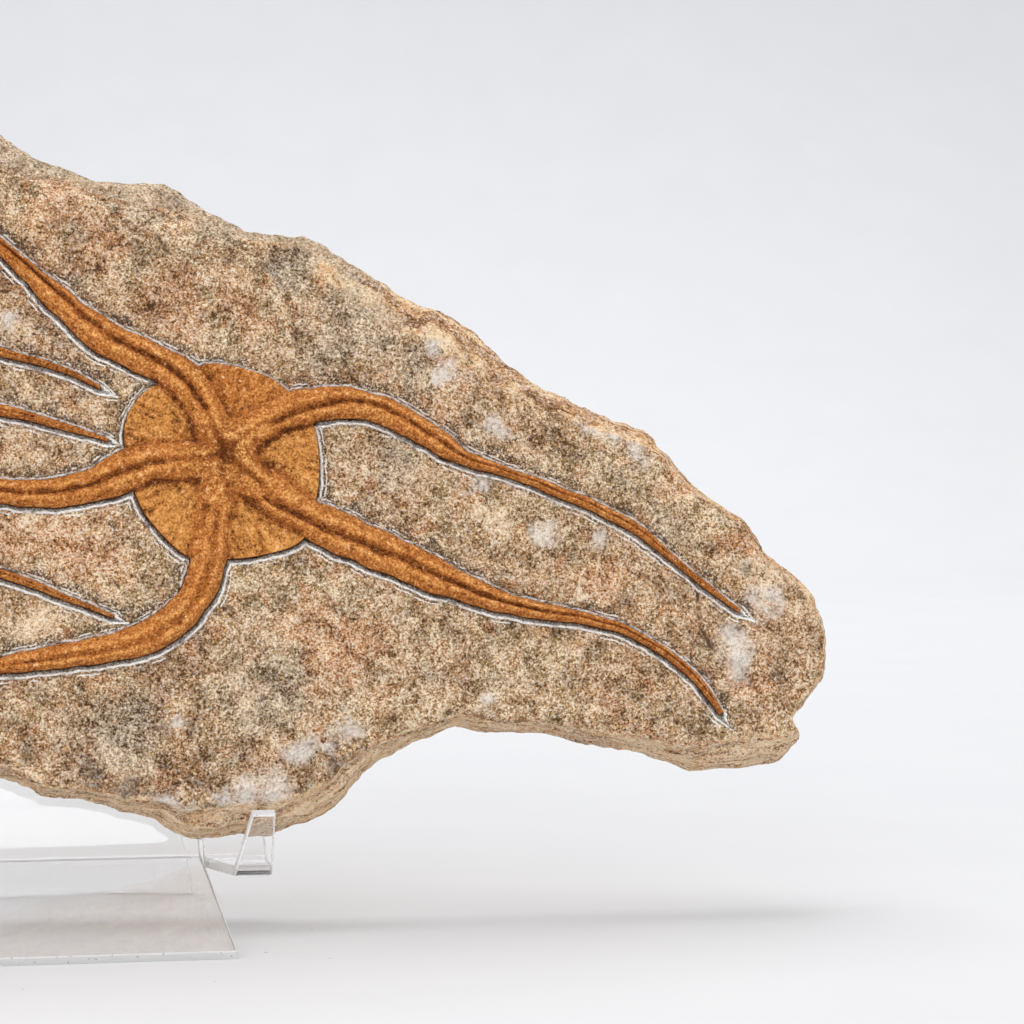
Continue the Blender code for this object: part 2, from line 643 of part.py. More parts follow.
def table_cutter():
    """A block under the table plane, which cuts the sheet's two lower edges flat."""
    bpy.ops.mesh.primitive_cube_add(size=1.0, location=(0.0, 0.0, -0.02))
    block = bpy.context.object
    block.name = "table cutter"
    block.scale = (0.6, 0.3, 0.04)
    for group in list(block.users_collection):
        group.objects.unlink(block)
    cutters.objects.link(block)
    block.hide_render = True
    block.display_type = "WIRE"
    return block


start_empty()
sandstone = material("sandstone", (0.30, 0.22, 0.15), 0.9)
limonite = material("limonite", (0.42, 0.17, 0.04), 0.85)
acrylic = material("clear acrylic", (0.93, 0.94, 0.94), 0.05, transmission=1.0, ior=1.49)
build_slab(sandstone)
build_star("brittle_star", LARGE_ARMS, LARGE_DISC, LARGE_MOUTH, limonite)
build_star("second_brittle_star", SECOND_ARMS, SECOND_DISC, SECOND_MOUTH, limonite)
build_stand(acrylic)
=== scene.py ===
"""Brittle star fossil: two brittle stars left standing in a leaning slab of sandstone, on a clear stand.

Metres, +Z up. Sizes are written in millimetres. On the slab, u runs along it to the right, v up its
prepared face, and w out of that face.
"""

import math

import bmesh
import bpy
import numpy as np
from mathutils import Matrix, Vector
from mathutils.geometry import delaunay_2d_cdt
from mathutils.kdtree import KDTree


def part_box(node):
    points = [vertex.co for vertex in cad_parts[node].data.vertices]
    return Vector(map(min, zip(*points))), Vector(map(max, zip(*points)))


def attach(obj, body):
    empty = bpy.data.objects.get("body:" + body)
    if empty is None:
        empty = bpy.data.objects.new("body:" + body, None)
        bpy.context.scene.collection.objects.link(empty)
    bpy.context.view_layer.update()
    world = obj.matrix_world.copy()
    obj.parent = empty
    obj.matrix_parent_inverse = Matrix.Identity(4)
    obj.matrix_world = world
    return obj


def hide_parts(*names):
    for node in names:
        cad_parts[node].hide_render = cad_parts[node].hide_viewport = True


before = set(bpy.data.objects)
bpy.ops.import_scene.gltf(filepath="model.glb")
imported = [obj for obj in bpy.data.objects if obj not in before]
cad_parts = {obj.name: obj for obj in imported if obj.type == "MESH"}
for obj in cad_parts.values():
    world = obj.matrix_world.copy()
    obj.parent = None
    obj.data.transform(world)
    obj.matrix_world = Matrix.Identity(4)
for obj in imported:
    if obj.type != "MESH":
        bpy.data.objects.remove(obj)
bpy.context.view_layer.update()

# ---- The large brittle star ----
# The animal itself, its skeleton turned to limonite, an earthy iron ore. It is part of the rock under it,
# and stands free because a preparator has cut the rock away from its edges with a steel scriber.

MM = 0.001
SLAB_LEAN = math.radians(12.0)  # of the face, back from upright
FACE_FOOT_Y = -15.7
FACE_FOOT_Z = 24.8


def to_world(u, v, w):
    """World places, in metres, of points in slab millimetres."""
    y = FACE_FOOT_Y + v * math.sin(SLAB_LEAN) - w * math.cos(SLAB_LEAN)
    z = FACE_FOOT_Z + v * math.cos(SLAB_LEAN) + w * math.sin(SLAB_LEAN)
    return np.stack([u + 0.0 * y, y, z], axis=-1) * MM


def swell(u, v):
    """Slow rise and fall of the split face."""
    return 0.5 * np.sin(u / 31.0 + v / 47.0) * np.cos(v / 23.0 - u / 61.0) - 0.15


def ramp(value, low, high):
    """0 below low and 1 above high, with a soft start and end."""
    t = np.clip((value - low) / (high - low), 0.0, 1.0)
    return t * t * (3.0 - 2.0 * t)


PATTERN_CELLS = 128  # bumps each way before a seeded pattern repeats


def bumps(u, v, size, seed):
    """Seeded bumps and hollows, from about -1 to 1, each about size across."""
    turns = np.random.default_rng(seed).uniform(0.0, 2.0 * math.pi, (PATTERN_CELLS, PATTERN_CELLS))
    x = np.asarray(u) / size + 0.37
    y = np.asarray(v) / size + 0.71
    column = np.floor(x).astype(int)
    row = np.floor(y).astype(int)
    total = 0.0
    for i in (0, 1):
        for j in (0, 1):
            angle = turns[(column + i) % PATTERN_CELLS, (row + j) % PATTERN_CELLS]
            dx = x - column - i
            dy = y - row - j
            share = (1.0 - ramp(np.abs(dx), 0.0, 1.0)) * (1.0 - ramp(np.abs(dy), 0.0, 1.0))
            total = total + share * (np.cos(angle) * dx + np.sin(angle) * dy)
    return 1.7 * total


def rough(u, v, size, seed, octaves=3):
    """Bumps with finer and finer bumps on them, each turned so that no rows show."""
    total = 0.0
    for k in range(octaves):
        turn = 0.6 + 1.1 * k
        along = u * math.cos(turn) + v * math.sin(turn)
        aside = v * math.cos(turn) - u * math.sin(turn)
        total = total + 0.5**k * bumps(along, aside, size * 0.5**k, seed + k)
    return total


def curve_point(before, start, end, after, t):
    """A place on the smooth curve from start, at t = 0, to end, at t = 1, with the points on both sides."""
    bend = 2.0 * before - 5.0 * start + 4.0 * end - after
    twist = 3.0 * (start - end) + after - before
    return start + 0.5 * (t * (end - before) + t * t * bend + t**3 * twist)


def smooth_route(points, step, closed=False):
    """Points of a smooth curve through the given ones, at most one step apart."""
    points = np.array(points, float)
    count = len(points)
    route = []
    for i in range(count if closed else count - 1):
        if closed:
            before, start, end, after = (points[(i + k) % count] for k in (-1, 0, 1, 2))
        else:
            before, start, end, after = (points[min(max(i + k, 0), count - 1)] for k in (-1, 0, 1, 2))
        parts = max(1, math.ceil(float(np.hypot(*(end - start)[:2])) / step))
        route += [curve_point(before, start, end, after, k / parts) for k in range(parts)]
    if not closed:
        route.append(points[-1])
    return np.array(route)


def from_route(u, v, route, reach=14.0):
    """How points lie to a route: offset from its nearest place, side of it, half width and length there."""
    offset = np.full((len(u), 2), 500.0)
    side = np.ones(len(u))
    half = np.zeros(len(u))
    along = np.zeros(len(u))
    start = route[:-1]
    run = np.diff(route, axis=0)
    square = (run[:, :2] ** 2).sum(axis=1)
    lengths = np.concatenate([[0.0], np.cumsum(np.sqrt(square))])
    low = route[:, :2].min(axis=0) - reach
    high = route[:, :2].max(axis=0) + reach
    near = np.flatnonzero((u > low[0]) & (u < high[0]) & (v > low[1]) & (v < high[1]))
    for part in np.array_split(near, len(near) // 1000 + 1):
        off_u = u[part][:, None] - start[:, 0]
        off_v = v[part][:, None] - start[:, 1]
        t = np.clip((off_u * run[:, 0] + off_v * run[:, 1]) / square, 0.0, 1.0)
        off_u -= t * run[:, 0]
        off_v -= t * run[:, 1]
        width = start[:, 2] + t * run[:, 2]
        best = (np.hypot(off_u, off_v) - width).argmin(axis=1)
        row = np.arange(len(part))
        nearest = np.stack([off_u[row, best], off_v[row, best]], axis=-1)
        turned = run[best, 0] * nearest[:, 1] - run[best, 1] * nearest[:, 0]
        offset[part] = nearest
        side[part] = np.where(turned < 0.0, -1.0, 1.0)
        half[part] = width[row, best]
        along[part] = (lengths[:-1] + t * np.diff(lengths))[row, best]
    return offset, side, half, along


def closed_route(ring):
    """A ring's points as a route with no width that comes back to its start."""
    return np.column_stack([np.vstack([ring, ring[:1]])[:, :2], np.zeros(len(ring) + 1)])


def inside_ring(u, v, ring):
    """Whether points lie inside a closed ring."""
    inside = np.zeros(len(u), bool)
    for (u0, v0), (u1, v1) in zip(ring[:, :2], np.roll(ring[:, :2], -1, axis=0)):
        if v0 != v1:
            crosses = ((v0 > v) != (v1 > v)) & (u < u0 + (v - v0) / (v1 - v0) * (u1 - u0))
            inside ^= crosses
    return inside


def star_edge(u, v, star):
    """Distance outside a star's edge, and how far upward the way out of it points, from -1 to 1."""
    distance = np.full(len(u), 99.0)
    upward = np.zeros(len(u))
    for route in star["cuts"]:
        offset, _, half, _ = from_route(u, v, route)
        length = np.hypot(offset[:, 0], offset[:, 1])
        closer = length - half < distance
        distance[closer] = (length - half)[closer]
        upward[closer] = (offset[:, 1] / np.maximum(length, 1e-6))[closer]
    ring = star["disc"]
    offset, _, _, _ = from_route(u, v, closed_route(ring))
    length = np.hypot(offset[:, 0], offset[:, 1])
    sign = np.where(inside_ring(u, v, ring), -1.0, 1.0)
    closer = sign * length < distance
    distance[closer] = (sign * length)[closer]
    upward[closer] = (sign * offset[:, 1] / np.maximum(length, 1e-6))[closer]
    return distance, upward


def flat_triangles(rings, loose_u=(), loose_v=(), cuts=()):
    """Triangles of the union of closed rings, with loose points and cut lines taken in as corners."""
    points = []
    faces = []
    for ring in rings:
        area = np.sum(ring[:, 0] * np.roll(ring[:, 1], -1) - ring[:, 1] * np.roll(ring[:, 0], -1))
        turned = ring if area > 0 else ring[::-1]
        faces.append(list(range(len(points), len(points) + len(ring))))
        points.extend(Vector(p) for p in turned[:, :2].tolist())
    edges = []
    for cut in cuts:
        first = len(points)
        edges += [(first + i, first + (i + 1) % len(cut)) for i in range(len(cut))]
        points.extend(Vector(p) for p in cut[:, :2].tolist())
    points.extend(Vector(p) for p in zip(loose_u, loose_v))
    corners, _, triangles, _, _, covers = delaunay_2d_cdt(points, edges, faces, 0, 0.01)
    kept = [triangle for triangle, cover in zip(triangles, covers) if cover]
    return np.array([tuple(c) for c in corners]), np.array(kept)


def nearest_corners(points, corners):
    """The number of the corner at each point, and its distance."""
    tree = KDTree(len(corners))
    for number, (u, v) in enumerate(corners.tolist()):
        tree.insert((u, v, 0.0), number)
    tree.balance()
    found = [tree.find((u, v, 0.0)) for u, v in points.tolist()]
    return np.array([number for _, number, _ in found]), np.array([away for _, _, away in found])


def open_loops(triangles):
    """Closed loops of corners round the outside of a set of triangles, anticlockwise."""
    sides = set()
    for a, b, c in triangles.tolist():
        sides.update(((a, b), (b, c), (c, a)))
    after = {}
    for a, b in sides:
        if (b, a) not in sides:
            after.setdefault(a, []).append(b)
    loops = []
    while after:
        start = next(iter(after))
        loop = [start]
        while True:
            here = loop[-1]
            following = after[here].pop()
            if not after[here]:
                del after[here]
            if following == start:
                break
            loop.append(following)
        loops.append(loop)
    return loops


def star_loops(stars, extra):
    """The joint outline of stars that are widened by extra."""
    rings = []
    for star in stars:
        for route in star["arms"]:
            along = np.gradient(route[:, :2], axis=0)
            along /= np.hypot(along[:, 0], along[:, 1])[:, None]
            left = np.column_stack([-along[:, 1], along[:, 0]])
            centre = route[:, :2].copy()
            centre[-1] += along[-1] * extra
            half = (route[:, 2] + extra)[:, None]
            half[-1] = route[-1, 2] + 0.5 * extra
            one = centre + left * half
            other = centre - left * half
            for i in range(len(route) - 1):
                rings.append(np.array([one[i], other[i], other[i + 1], one[i + 1]]))
        ring = star["disc"]
        out = ring - np.array(star["mouth"])
        rings.append(ring + extra * out / np.hypot(out[:, 0], out[:, 1])[:, None])
    corners, triangles = flat_triangles(rings)
    found = []
    for loop in open_loops(triangles):
        ring = corners[loop]
        apart = np.hypot(*(ring - np.roll(ring, 1, axis=0)).T)
        ring = ring[apart > 0.12]
        if len(ring) > 30:
            found.append(ring)
    return found


def staggered(low, high, spacing):
    """Loose points in staggered rows over a rectangle."""
    rows = np.arange(low[1], high[1], spacing * 0.866)
    columns = np.arange(low[0], high[0], spacing)
    v, u = np.meshgrid(rows, columns, indexing="ij")
    u = u + 0.5 * spacing * (np.arange(len(rows)) % 2)[:, None]
    return u.ravel(), v.ravel()


def make_piece(name, places, faces, finish, sharp_angle=180.0):
    """One named, smoothly shaded mesh object. places are in metres."""
    mesh = bpy.data.meshes.new(name)
    mesh.from_pydata(places.tolist(), [], faces)
    mesh.validate()
    mesh.shade_smooth()
    if sharp_angle < 180.0:
        mesh.set_sharp_from_angle(angle=math.radians(sharp_angle))
    mesh.materials.append(finish)
    piece = bpy.data.objects.new(name, mesh)
    bpy.context.scene.collection.objects.link(piece)
    return piece


def paint(piece, name, values):
    """Keeps one number at each corner of a piece for its material to read."""
    layer = piece.data.attributes.new(name, "FLOAT", "POINT")
    layer.data.foreach_set("value", np.asarray(values, np.float32))


def linear(hex_colour):
    """A linear RGBA colour from an sRGB hex value."""
    parts = [int(hex_colour[i : i + 2], 16) / 255.0 for i in (1, 3, 5)]
    return tuple(c / 12.92 if c <= 0.04045 else ((c + 0.055) / 1.055) ** 2.4 for c in parts) + (1.0,)


def add_node(tree, kind, inputs=None, output=0, **settings):
    """Adds a shader node and gives one of its outputs. An input is a value, or the socket that feeds it."""
    node = tree.nodes.new(kind)
    for setting, value in settings.items():
        setattr(node, setting, value)
    for socket, value in (inputs or {}).items():
        if isinstance(value, bpy.types.NodeSocket):
            tree.links.new(value, node.inputs[socket])
        else:
            node.inputs[socket].default_value = value
    return node.outputs[output]


def new_finish(name):
    """A material with its node tree, its shader, and coordinates in millimetres."""
    finish = bpy.data.materials.new(name)
    finish.use_nodes = True
    tree = finish.node_tree
    shader = tree.nodes["Principled BSDF"]
    place = add_node(tree, "ShaderNodeTexCoord", output="Object")
    place = add_node(tree, "ShaderNodeVectorMath", {0: place, 1: (1000.0,) * 3}, operation="MULTIPLY")
    return finish, tree, shader, place


def tinted(tree, colour, tints):
    """Lays tints on a colour. Each goes from none to its most as a socket goes from start to full."""
    for tint, value, start, full, most in tints:
        share = add_node(tree, "ShaderNodeMapRange", {"Value": value, 1: start, 2: full, 4: most})
        inputs = {0: share, 6: colour, 7: linear(tint)}
        colour = add_node(tree, "ShaderNodeMix", inputs, output=2, data_type="RGBA")
    return colour


# Limonite is a dull, earthy ochre with no gloss. Grains of 0.5 to 1 mm, of darker iron ore and of paler
# ochre, give it a velvety look. Crests are painted lighter as highlight, and grooves, furrows, pits and
# the upright edges are painted darker as shade.
ARM_OCHRE = "#B06A30"
LOBE_OCHRE = "#C0803F"
CENTRE_BROWN = "#8F511F"
DEEP_BROWN_AND_SHADE = "#5C2E0E"
PALE_OCHRE_AND_HIGHLIGHT = "#EBAE66"
PALE_GRAIN = "#E9CDAE"
IRON_BLACK = "#3B2413"

limonite, tree, shader, place = new_finish("limonite, earthy")
mark = {}  # numbers that are painted on the stars' corners further down
for name in ("hollow_shade", "crest_highlight", "lobe", "centre"):
    mark[name] = add_node(tree, "ShaderNodeAttribute", output="Fac", attribute_name=name)
noise = {}  # name, size in millimetres, and detail
for name, size, detail in (
    ("grit", 0.55, 1.0), ("grain", 1.2, 2.0), ("clump", 3.0, 2.0), ("blotch", 8.0, 2.0)
):
    inputs = {"Vector": place, "Scale": 1.0 / size, "Detail": detail, "Roughness": 0.75}
    noise[name] = add_node(tree, "ShaderNodeTexNoise", inputs)
# Tone: 0 is deep brown and painted shade, 0.5 the plain ochre and 1 pale ochre and painted highlight.
# The noises are 0.5 on average
tone = 0.5 - 0.5 * (1.3 + 1.0 + 0.6 + 0.4)
for part, weight in (
    (noise["grit"], 1.3), (noise["grain"], 1.0), (noise["clump"], 0.6), (noise["blotch"], 0.4),
    # painted highlight on crests and painted shade in hollows
    (mark["crest_highlight"], 0.17), (mark["hollow_shade"], -0.52),
):
    tone = add_node(tree, "ShaderNodeMath", {0: part, 1: weight, 2: tone}, operation="MULTIPLY_ADD")
colour = tinted(tree, linear(ARM_OCHRE), (
    (LOBE_OCHRE, mark["lobe"], 0.0, 1.0, 1.0),
    (CENTRE_BROWN, mark["centre"], 0.0, 1.0, 0.8),
    (CENTRE_BROWN, noise["blotch"], 0.52, 0.68, 0.6),
    (DEEP_BROWN_AND_SHADE, tone, 0.5, 0.0, 1.0),
    (PALE_OCHRE_AND_HIGHLIGHT, tone, 0.5, 1.0, 0.9),
    (PALE_GRAIN, noise["grain"], 0.64, 0.76, 0.7),
    (IRON_BLACK, noise["grain"], 0.36, 0.25, 0.8),
))
inputs = {0: noise["clump"], 1: 1.2, 2: noise["grain"]}
height = add_node(tree, "ShaderNodeMath", inputs, operation="MULTIPLY_ADD")
bump = add_node(tree, "ShaderNodeBump", {"Strength": 1.0, "Distance": 0.6 * MM, "Height": height})
tree.links.new(colour, shader.inputs["Base Color"])
tree.links.new(bump, shader.inputs["Normal"])
shader.inputs["Roughness"].default_value = 0.92
shader.inputs["Specular IOR Level"].default_value = 0.2

FOSSIL_DEPTH = 2.4  # of the underside below the face
RIDGE_HEIGHT = 2.0  # of the two ridges along an arm
ARM_GROOVE = 1.2  # depth of the middle groove below them
EDGE_HEIGHT = 0.1
LOBE_HEIGHT = 0.55
BOW_RADIUS = 1.2  # of the rounded corner between two arms
BOW_DEPTH = 5.6  # from that corner to the middle groove, where a ridge bows round the mouth
DISC_REACH = 30.0  # from the mouth, within which ridges bow
GROOVE_WIDTH = 0.17  # of the middle groove, as a share of half an arm
PLATE_LENGTH = 2.6  # of each joint of an arm
FURROW_DEPTH = 0.45  # of the line between an arm and a lobe
LOBE_LINES = 15.0  # fine lines that fan out over the lobes, for each radian
LOBE_LINE_LENGTH = 14.0
ROUTE_STEP = 0.9

# An arm runs out from the mouth: u, v and half its width
large_star = {
    "mouth": (57.0, 93.0),
    "arms": [
        [(57.0, 93.0, 4.6), (53.8, 100.6, 4.6), (50.6, 107.5, 4.6), (45.8, 113.2, 4.6), (36.3, 118.3, 4.5),
         (26.6, 123.6, 4.2), (16.9, 131.8, 3.2), (9.6, 138.9, 2.3), (2.4, 145.5, 1.8), (-9.7, 155.0, 1.7),
         (-23.0, 163.4, 1.2), (-38.0, 168.4, 0.4)],
        [(57.0, 93.0, 4.6), (63.1, 98.6, 4.5), (70.6, 103.2, 4.5), (78.4, 105.4, 4.5), (87.2, 106.2, 3.9),
         (96.0, 104.2, 3.6), (103.4, 100.5, 3.4), (110.6, 96.0, 2.9), (117.0, 92.0, 1.9),
         (128.0, 88.2, 1.1), (139.0, 84.0, 1.35), (149.5, 79.4, 1.45), (160.6, 73.3, 1.3),
         (168.3, 66.4, 0.8), (178.0, 58.3, 0.7), (185.5, 52.7, 0.35)],
        [(57.0, 93.0, 4.6), (61.0, 89.2, 4.8), (67.5, 84.0, 5.0), (75.5, 78.3, 5.0), (85.5, 72.9, 4.9),
         (99.6, 66.6, 4.5), (110.0, 61.8, 4.1), (118.5, 58.0, 3.1), (127.5, 54.9, 2.4), (136.5, 52.9, 2.0),
         (146.0, 51.2, 1.5), (155.5, 48.4, 1.2), (165.7, 42.6, 1.1), (174.3, 34.6, 1.0),
         (179.6, 26.9, 0.6)],
        [(57.0, 93.0, 4.4), (55.2, 84.0, 4.2), (53.2, 74.5, 4.1), (52.2, 66.5, 4.3), (50.0, 59.7, 4.1),
         (45.3, 53.6, 4.1), (37.8, 48.2, 4.0), (28.1, 45.2, 3.3), (15.5, 43.4, 2.9), (1.8, 41.4, 2.0),
         (-12.4, 37.8, 1.7), (-27.0, 34.8, 1.2), (-43.0, 35.8, 0.4)],
        [(57.0, 93.0, 4.6), (48.2, 91.7, 4.8), (38.4, 91.0, 4.9), (31.0, 88.4, 4.9), (24.9, 85.7, 4.2),
         (16.4, 83.9, 3.5), (7.0, 83.7, 3.2), (-3.0, 85.0, 2.7), (-14.5, 86.9, 2.0), (-29.0, 87.0, 1.3),
         (-46.5, 83.5, 0.4)],
    ],
    "disc": [
        (74.5, 106.5), (78.6, 101.0), (80.0, 91.0), (79.0, 81.5), (75.3, 71.5), (65.4, 67.9), (56.6, 67.0),
        (47.8, 67.6), (40.6, 73.8), (35.3, 81.9), (32.3, 95.1), (33.2, 103.1), (39.1, 110.0), (52.3, 115.8),
        (64.6, 113.8), (71.4, 110.2),
    ],
    # Where the groove runs along each arm: length from the mouth, and its place from -1 to 1 across
    "grooves": [
        [(0.0, 0.1), (25.0, 0.0), (38.0, -0.15), (55.0, -0.38), (75.0, -0.45), (110.0, -0.1)],
        [(0.0, -0.5), (15.0, -0.42), (22.0, -0.3), (31.0, 0.0), (40.0, 0.25), (60.0, 0.0)],
        [(0.0, -0.6), (15.0, -0.5), (28.0, -0.2), (45.0, 0.0)],
        [(0.0, 0.25), (40.0, 0.2)],
        [(0.0, 0.0), (40.0, 0.0)],
    ],
    "groove_depths": [1.0, 0.8, 1.0, 0.25, 0.8],
    # How deep the line between an arm and the lobe on its left and right is
    "furrows": [(0.9, 0.6), (0.25, 1.0), (0.35, 0.8), (0.15, 0.15), (1.0, 0.45)],
    "seed": 11,
}


def settle(star):
    """Turns a star's plain lists into smooth routes whose edges waver a little, as cut by hand."""
    routes = []
    for number, arm in enumerate(star["arms"]):
        route = smooth_route(arm, ROUTE_STEP)
        length = np.arange(len(route)) * ROUTE_STEP
        free = ramp(length, 12.0, 20.0)
        seed = star["seed"] + 7 * number
        route[:, 0] += 0.16 * free * bumps(length, 0.0 * length, 7.0, seed)
        route[:, 1] += 0.16 * free * bumps(length, 0.0 * length + 40.0, 7.0, seed)
        route[:, 2] *= 1.0 + 0.10 * free * bumps(length, 0.0 * length + 80.0, 4.5, seed)
        routes.append(route)
    star["arms"] = routes
    # Past its tip an arm's two cut lines go on and meet: there its half width falls below nothing
    star["cuts"] = []
    for route in routes:
        ahead = route[-1, :2] - route[-4, :2]
        ahead /= np.hypot(*ahead)
        beyond = []
        for step in (1.0, 2.0, 3.0, 4.5):
            beyond.append([*(route[-1, :2] + ahead * step), route[-1, 2] - 0.36 * step])
        star["cuts"].append(np.vstack([route, beyond]))
    star["disc"] = smooth_route(star["disc"], ROUTE_STEP, closed=True)


def star_relief(u, v, star):
    """Height of a star's surface over the face, its painted shade in hollows and painted highlight on crests,
    and its lobe and centre shares.
    """
    from_mouth = np.hypot(u - star["mouth"][0], v - star["mouth"][1])
    nearest = np.full(len(u), 99.0)
    nearness = np.zeros(len(u))
    across, half_width, run, groove_depth, furrow_depth = (np.zeros(len(u)) for _ in range(5))
    seed = star["seed"]
    ragged = 0.07 * rough(u, v, 3.2, seed + 50)
    arms = zip(star["arms"], star["grooves"], star["groove_depths"], star["furrows"])
    for route, groove, depth, furrows in arms:
        offset, side, half, along = from_route(u, v, route)
        length = np.hypot(offset[:, 0], offset[:, 1])
        share = side * length / np.maximum(half, 0.2)
        middle = np.interp(along, *np.array(groove).T) + 0.09 * bumps(along, 0.0 * along, 6.0, seed + 3)
        t = np.where(share > middle, (share - middle) / (1.0 - middle), (middle - share) / (1.0 + middle))
        nearer = length - half < nearest
        nearest[nearer] = (length - half)[nearer]
        across[nearer] = (t + ragged * ramp(half, 1.0, 3.0))[nearer]
        half_width[nearer] = half[nearer]
        run[nearer] = along[nearer]
        groove_depth[nearer] = depth
        furrow_depth[nearer] = np.where(side > 0.0, furrows[0], furrows[1])[nearer]
        nearness += np.exp((half - length) / BOW_RADIUS)
    # Between two arms the ridge of one bows round into the ridge of the next
    from_arm = -BOW_RADIUS * np.log(np.maximum(nearness, 1e-30))
    from_arm = np.where(from_mouth < DISC_REACH, from_arm, nearest)
    bowed = np.clip(1.0 + from_arm / BOW_DEPTH, 0.0, 1.0) + ragged
    across += (bowed - across) * (1.0 - ramp(from_mouth, 10.0, 16.0))
    groove_depth += (0.85 - groove_depth) * (1.0 - ramp(from_mouth, 7.0, 12.0))
    crown = np.sin(math.pi * (0.22 + 0.78 * np.clip(across, 0.0, 1.0))) ** 0.75
    uneven = 0.85 + 0.25 * bumps(run, 0.0 * run + 9.0, 14.0, seed + 5)
    cut = np.exp(-((across / GROOVE_WIDTH) ** 2)) * groove_depth * uneven
    plates = 0.05 * np.sin(run * 2.0 * math.pi / PLATE_LENGTH) * ramp(half_width, 1.0, 3.0)
    scale = np.minimum(1.0, 0.35 + half_width / 4.0)
    arm_top = EDGE_HEIGHT + scale * (RIDGE_HEIGHT * crown - ARM_GROOVE * cut + plates)
    small = np.minimum(1.0, half_width / 3.0)
    groove_shade = cut * small * (from_arm < 0.0)
    crest_highlight_line = np.exp(-(((across - 0.42) / 0.13) ** 2)) * small * (from_arm < 0.0)
    fan = np.arctan2(v - star["mouth"][1], u - star["mouth"][0])
    fan = fan + 0.06 * rough(u, v, 9.0, seed + 24)
    stripes = rough(fan * LOBE_LINES, from_mouth / LOBE_LINE_LENGTH, 1.0, seed + 21)
    lobe_top = 0.02 + LOBE_HEIGHT * ramp(from_arm, 0.0, 3.0) + 0.26 * stripes * ramp(from_arm, 0.3, 2.5)
    lobe = ramp(from_arm, 0.0, 1.2)
    height = np.where(from_arm < 0.0, arm_top, lobe_top)
    core = 1.0 - ramp(from_mouth, 3.0, 13.0)
    grainy = 0.24 * rough(u, v, 2.2, seed + 30) + 0.12 * rough(u, v, 5.0, seed + 38)
    height = height + grainy + 0.5 * core * rough(u, v, 3.0, seed + 34)
    near_arm = np.exp(-((from_arm / np.where(from_arm > 0.0, 1.1, 0.6)) ** 2))
    furrow = near_arm * (from_mouth < 27.0) * furrow_depth * (0.8 + 0.4 * bumps(u, v, 6.0, seed + 44))
    height -= FURROW_DEPTH * furrow * (from_arm > -0.3)
    # Painted shade: darker in the middle groove, the furrows, between the lobes' stripes, in low grain and in
    # pits
    hollow_shade = np.maximum(groove_shade * 0.9, furrow * 0.95)
    hollow_shade = np.maximum(hollow_shade, 0.5 * lobe * ramp(-stripes, 0.1, 0.8))
    hollow_shade = np.maximum(hollow_shade, ramp(-grainy, 0.2, 0.5) * 0.4)
    for pit_u, pit_v, size, deep in star["pits"]:
        pit = np.exp(-(((u - pit_u) ** 2 + (v - pit_v) ** 2) / size**2))
        height -= deep * pit
        hollow_shade = np.maximum(hollow_shade, 0.85 * pit)
    # Painted highlight: lighter along the ridge crests and on the tops of the lobes' stripes
    crest_highlight = np.maximum(crest_highlight_line, 0.6 * lobe * ramp(stripes, 0.1, 0.7))
    upper_lobe = ramp(v - star["mouth"][1] - 0.9 * np.abs(u - star["mouth"][0]), 2.0, 6.0)
    lobe = lobe * (1.0 - 0.9 * upper_lobe)
    return height, np.clip(hollow_shade, 0.0, 1.0), crest_highlight, lobe, core


def build_star(name, star, spacing):
    """A star as one closed solid: its worked top, upright edges and flat underside."""
    ring = max(star_loops([star], 0.0), key=len)
    loose_u, loose_v = staggered(ring.min(axis=0), ring.max(axis=0), spacing)
    distance, _ = star_edge(loose_u, loose_v, star)
    kept = distance < -0.8 * spacing
    corners, triangles = flat_triangles([ring], loose_u[kept], loose_v[kept])
    u, v = corners.T
    height, hollow_shade, crest_highlight, lobe, core = star_relief(u, v, star)
    top = to_world(u, v, swell(u, v) + height)
    loop = np.array(max(open_loops(triangles), key=len))
    rows = [loop]
    places = [top]
    total = len(top)
    for depth in (-0.5, -1.2, -FOSSIL_DEPTH):
        places.append(to_world(u[loop], v[loop], np.full(len(loop), depth)))
        rows.append(total + np.arange(len(loop)))
        total += len(loop)
    faces = triangles.tolist()
    for upper, lower in zip(rows, rows[1:]):
        faces += np.column_stack([upper, lower, np.roll(lower, -1), np.roll(upper, -1)]).tolist()
    below, under = flat_triangles([corners[loop]])
    match, _ = nearest_corners(below, corners[loop])
    match = rows[-1][match]
    faces += match[under[:, ::-1]].tolist()
    piece = make_piece(name, np.vstack(places), faces, limonite, sharp_angle=65.0)
    walls = total - len(top)
    # The upright edges also get part of the painted shade
    for mark_name, values, on_walls in (
        ("hollow_shade", hollow_shade, 0.35), ("crest_highlight", crest_highlight, 0.0), ("lobe", lobe, 0.0), ("centre", core, 0.0)
    ):
        paint(piece, mark_name, np.concatenate([values, np.full(walls, on_walls)]))
    return piece


# Pits in the broken middle of the disc: u, v, size and depth
large_star["pits"] = [
    (67.0, 90.3, 1.5, 0.6), (46.0, 84.0, 1.2, 0.5), (49.5, 96.5, 1.2, 0.4), (57.3, 92.0, 1.6, 0.4),
    (63.5, 80.5, 1.6, 0.7), (59.0, 77.5, 1.1, 0.4), (52.0, 79.5, 1.3, 0.5), (68.5, 90.5, 1.2, 0.4),
    (45.0, 101.0, 1.3, 0.4), (57.5, 85.0, 1.2, 0.4), (60.5, 88.0, 0.9, 0.3), (65.2, 76.8, 1.0, 0.35),
]
settle(large_star)
LARGE_SPACING = 0.36  # of the points on the large star's surface
large_piece = build_star("large_brittle_star", large_star, LARGE_SPACING)
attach(large_piece, "root")
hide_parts("brittle_star")

# ---- The second brittle star ----
# A smaller animal of the same kind, in the same limonite, freed from the rock in the same way. Three of
# its arms reach in beside the large one, and their thin ends were left barely proud.

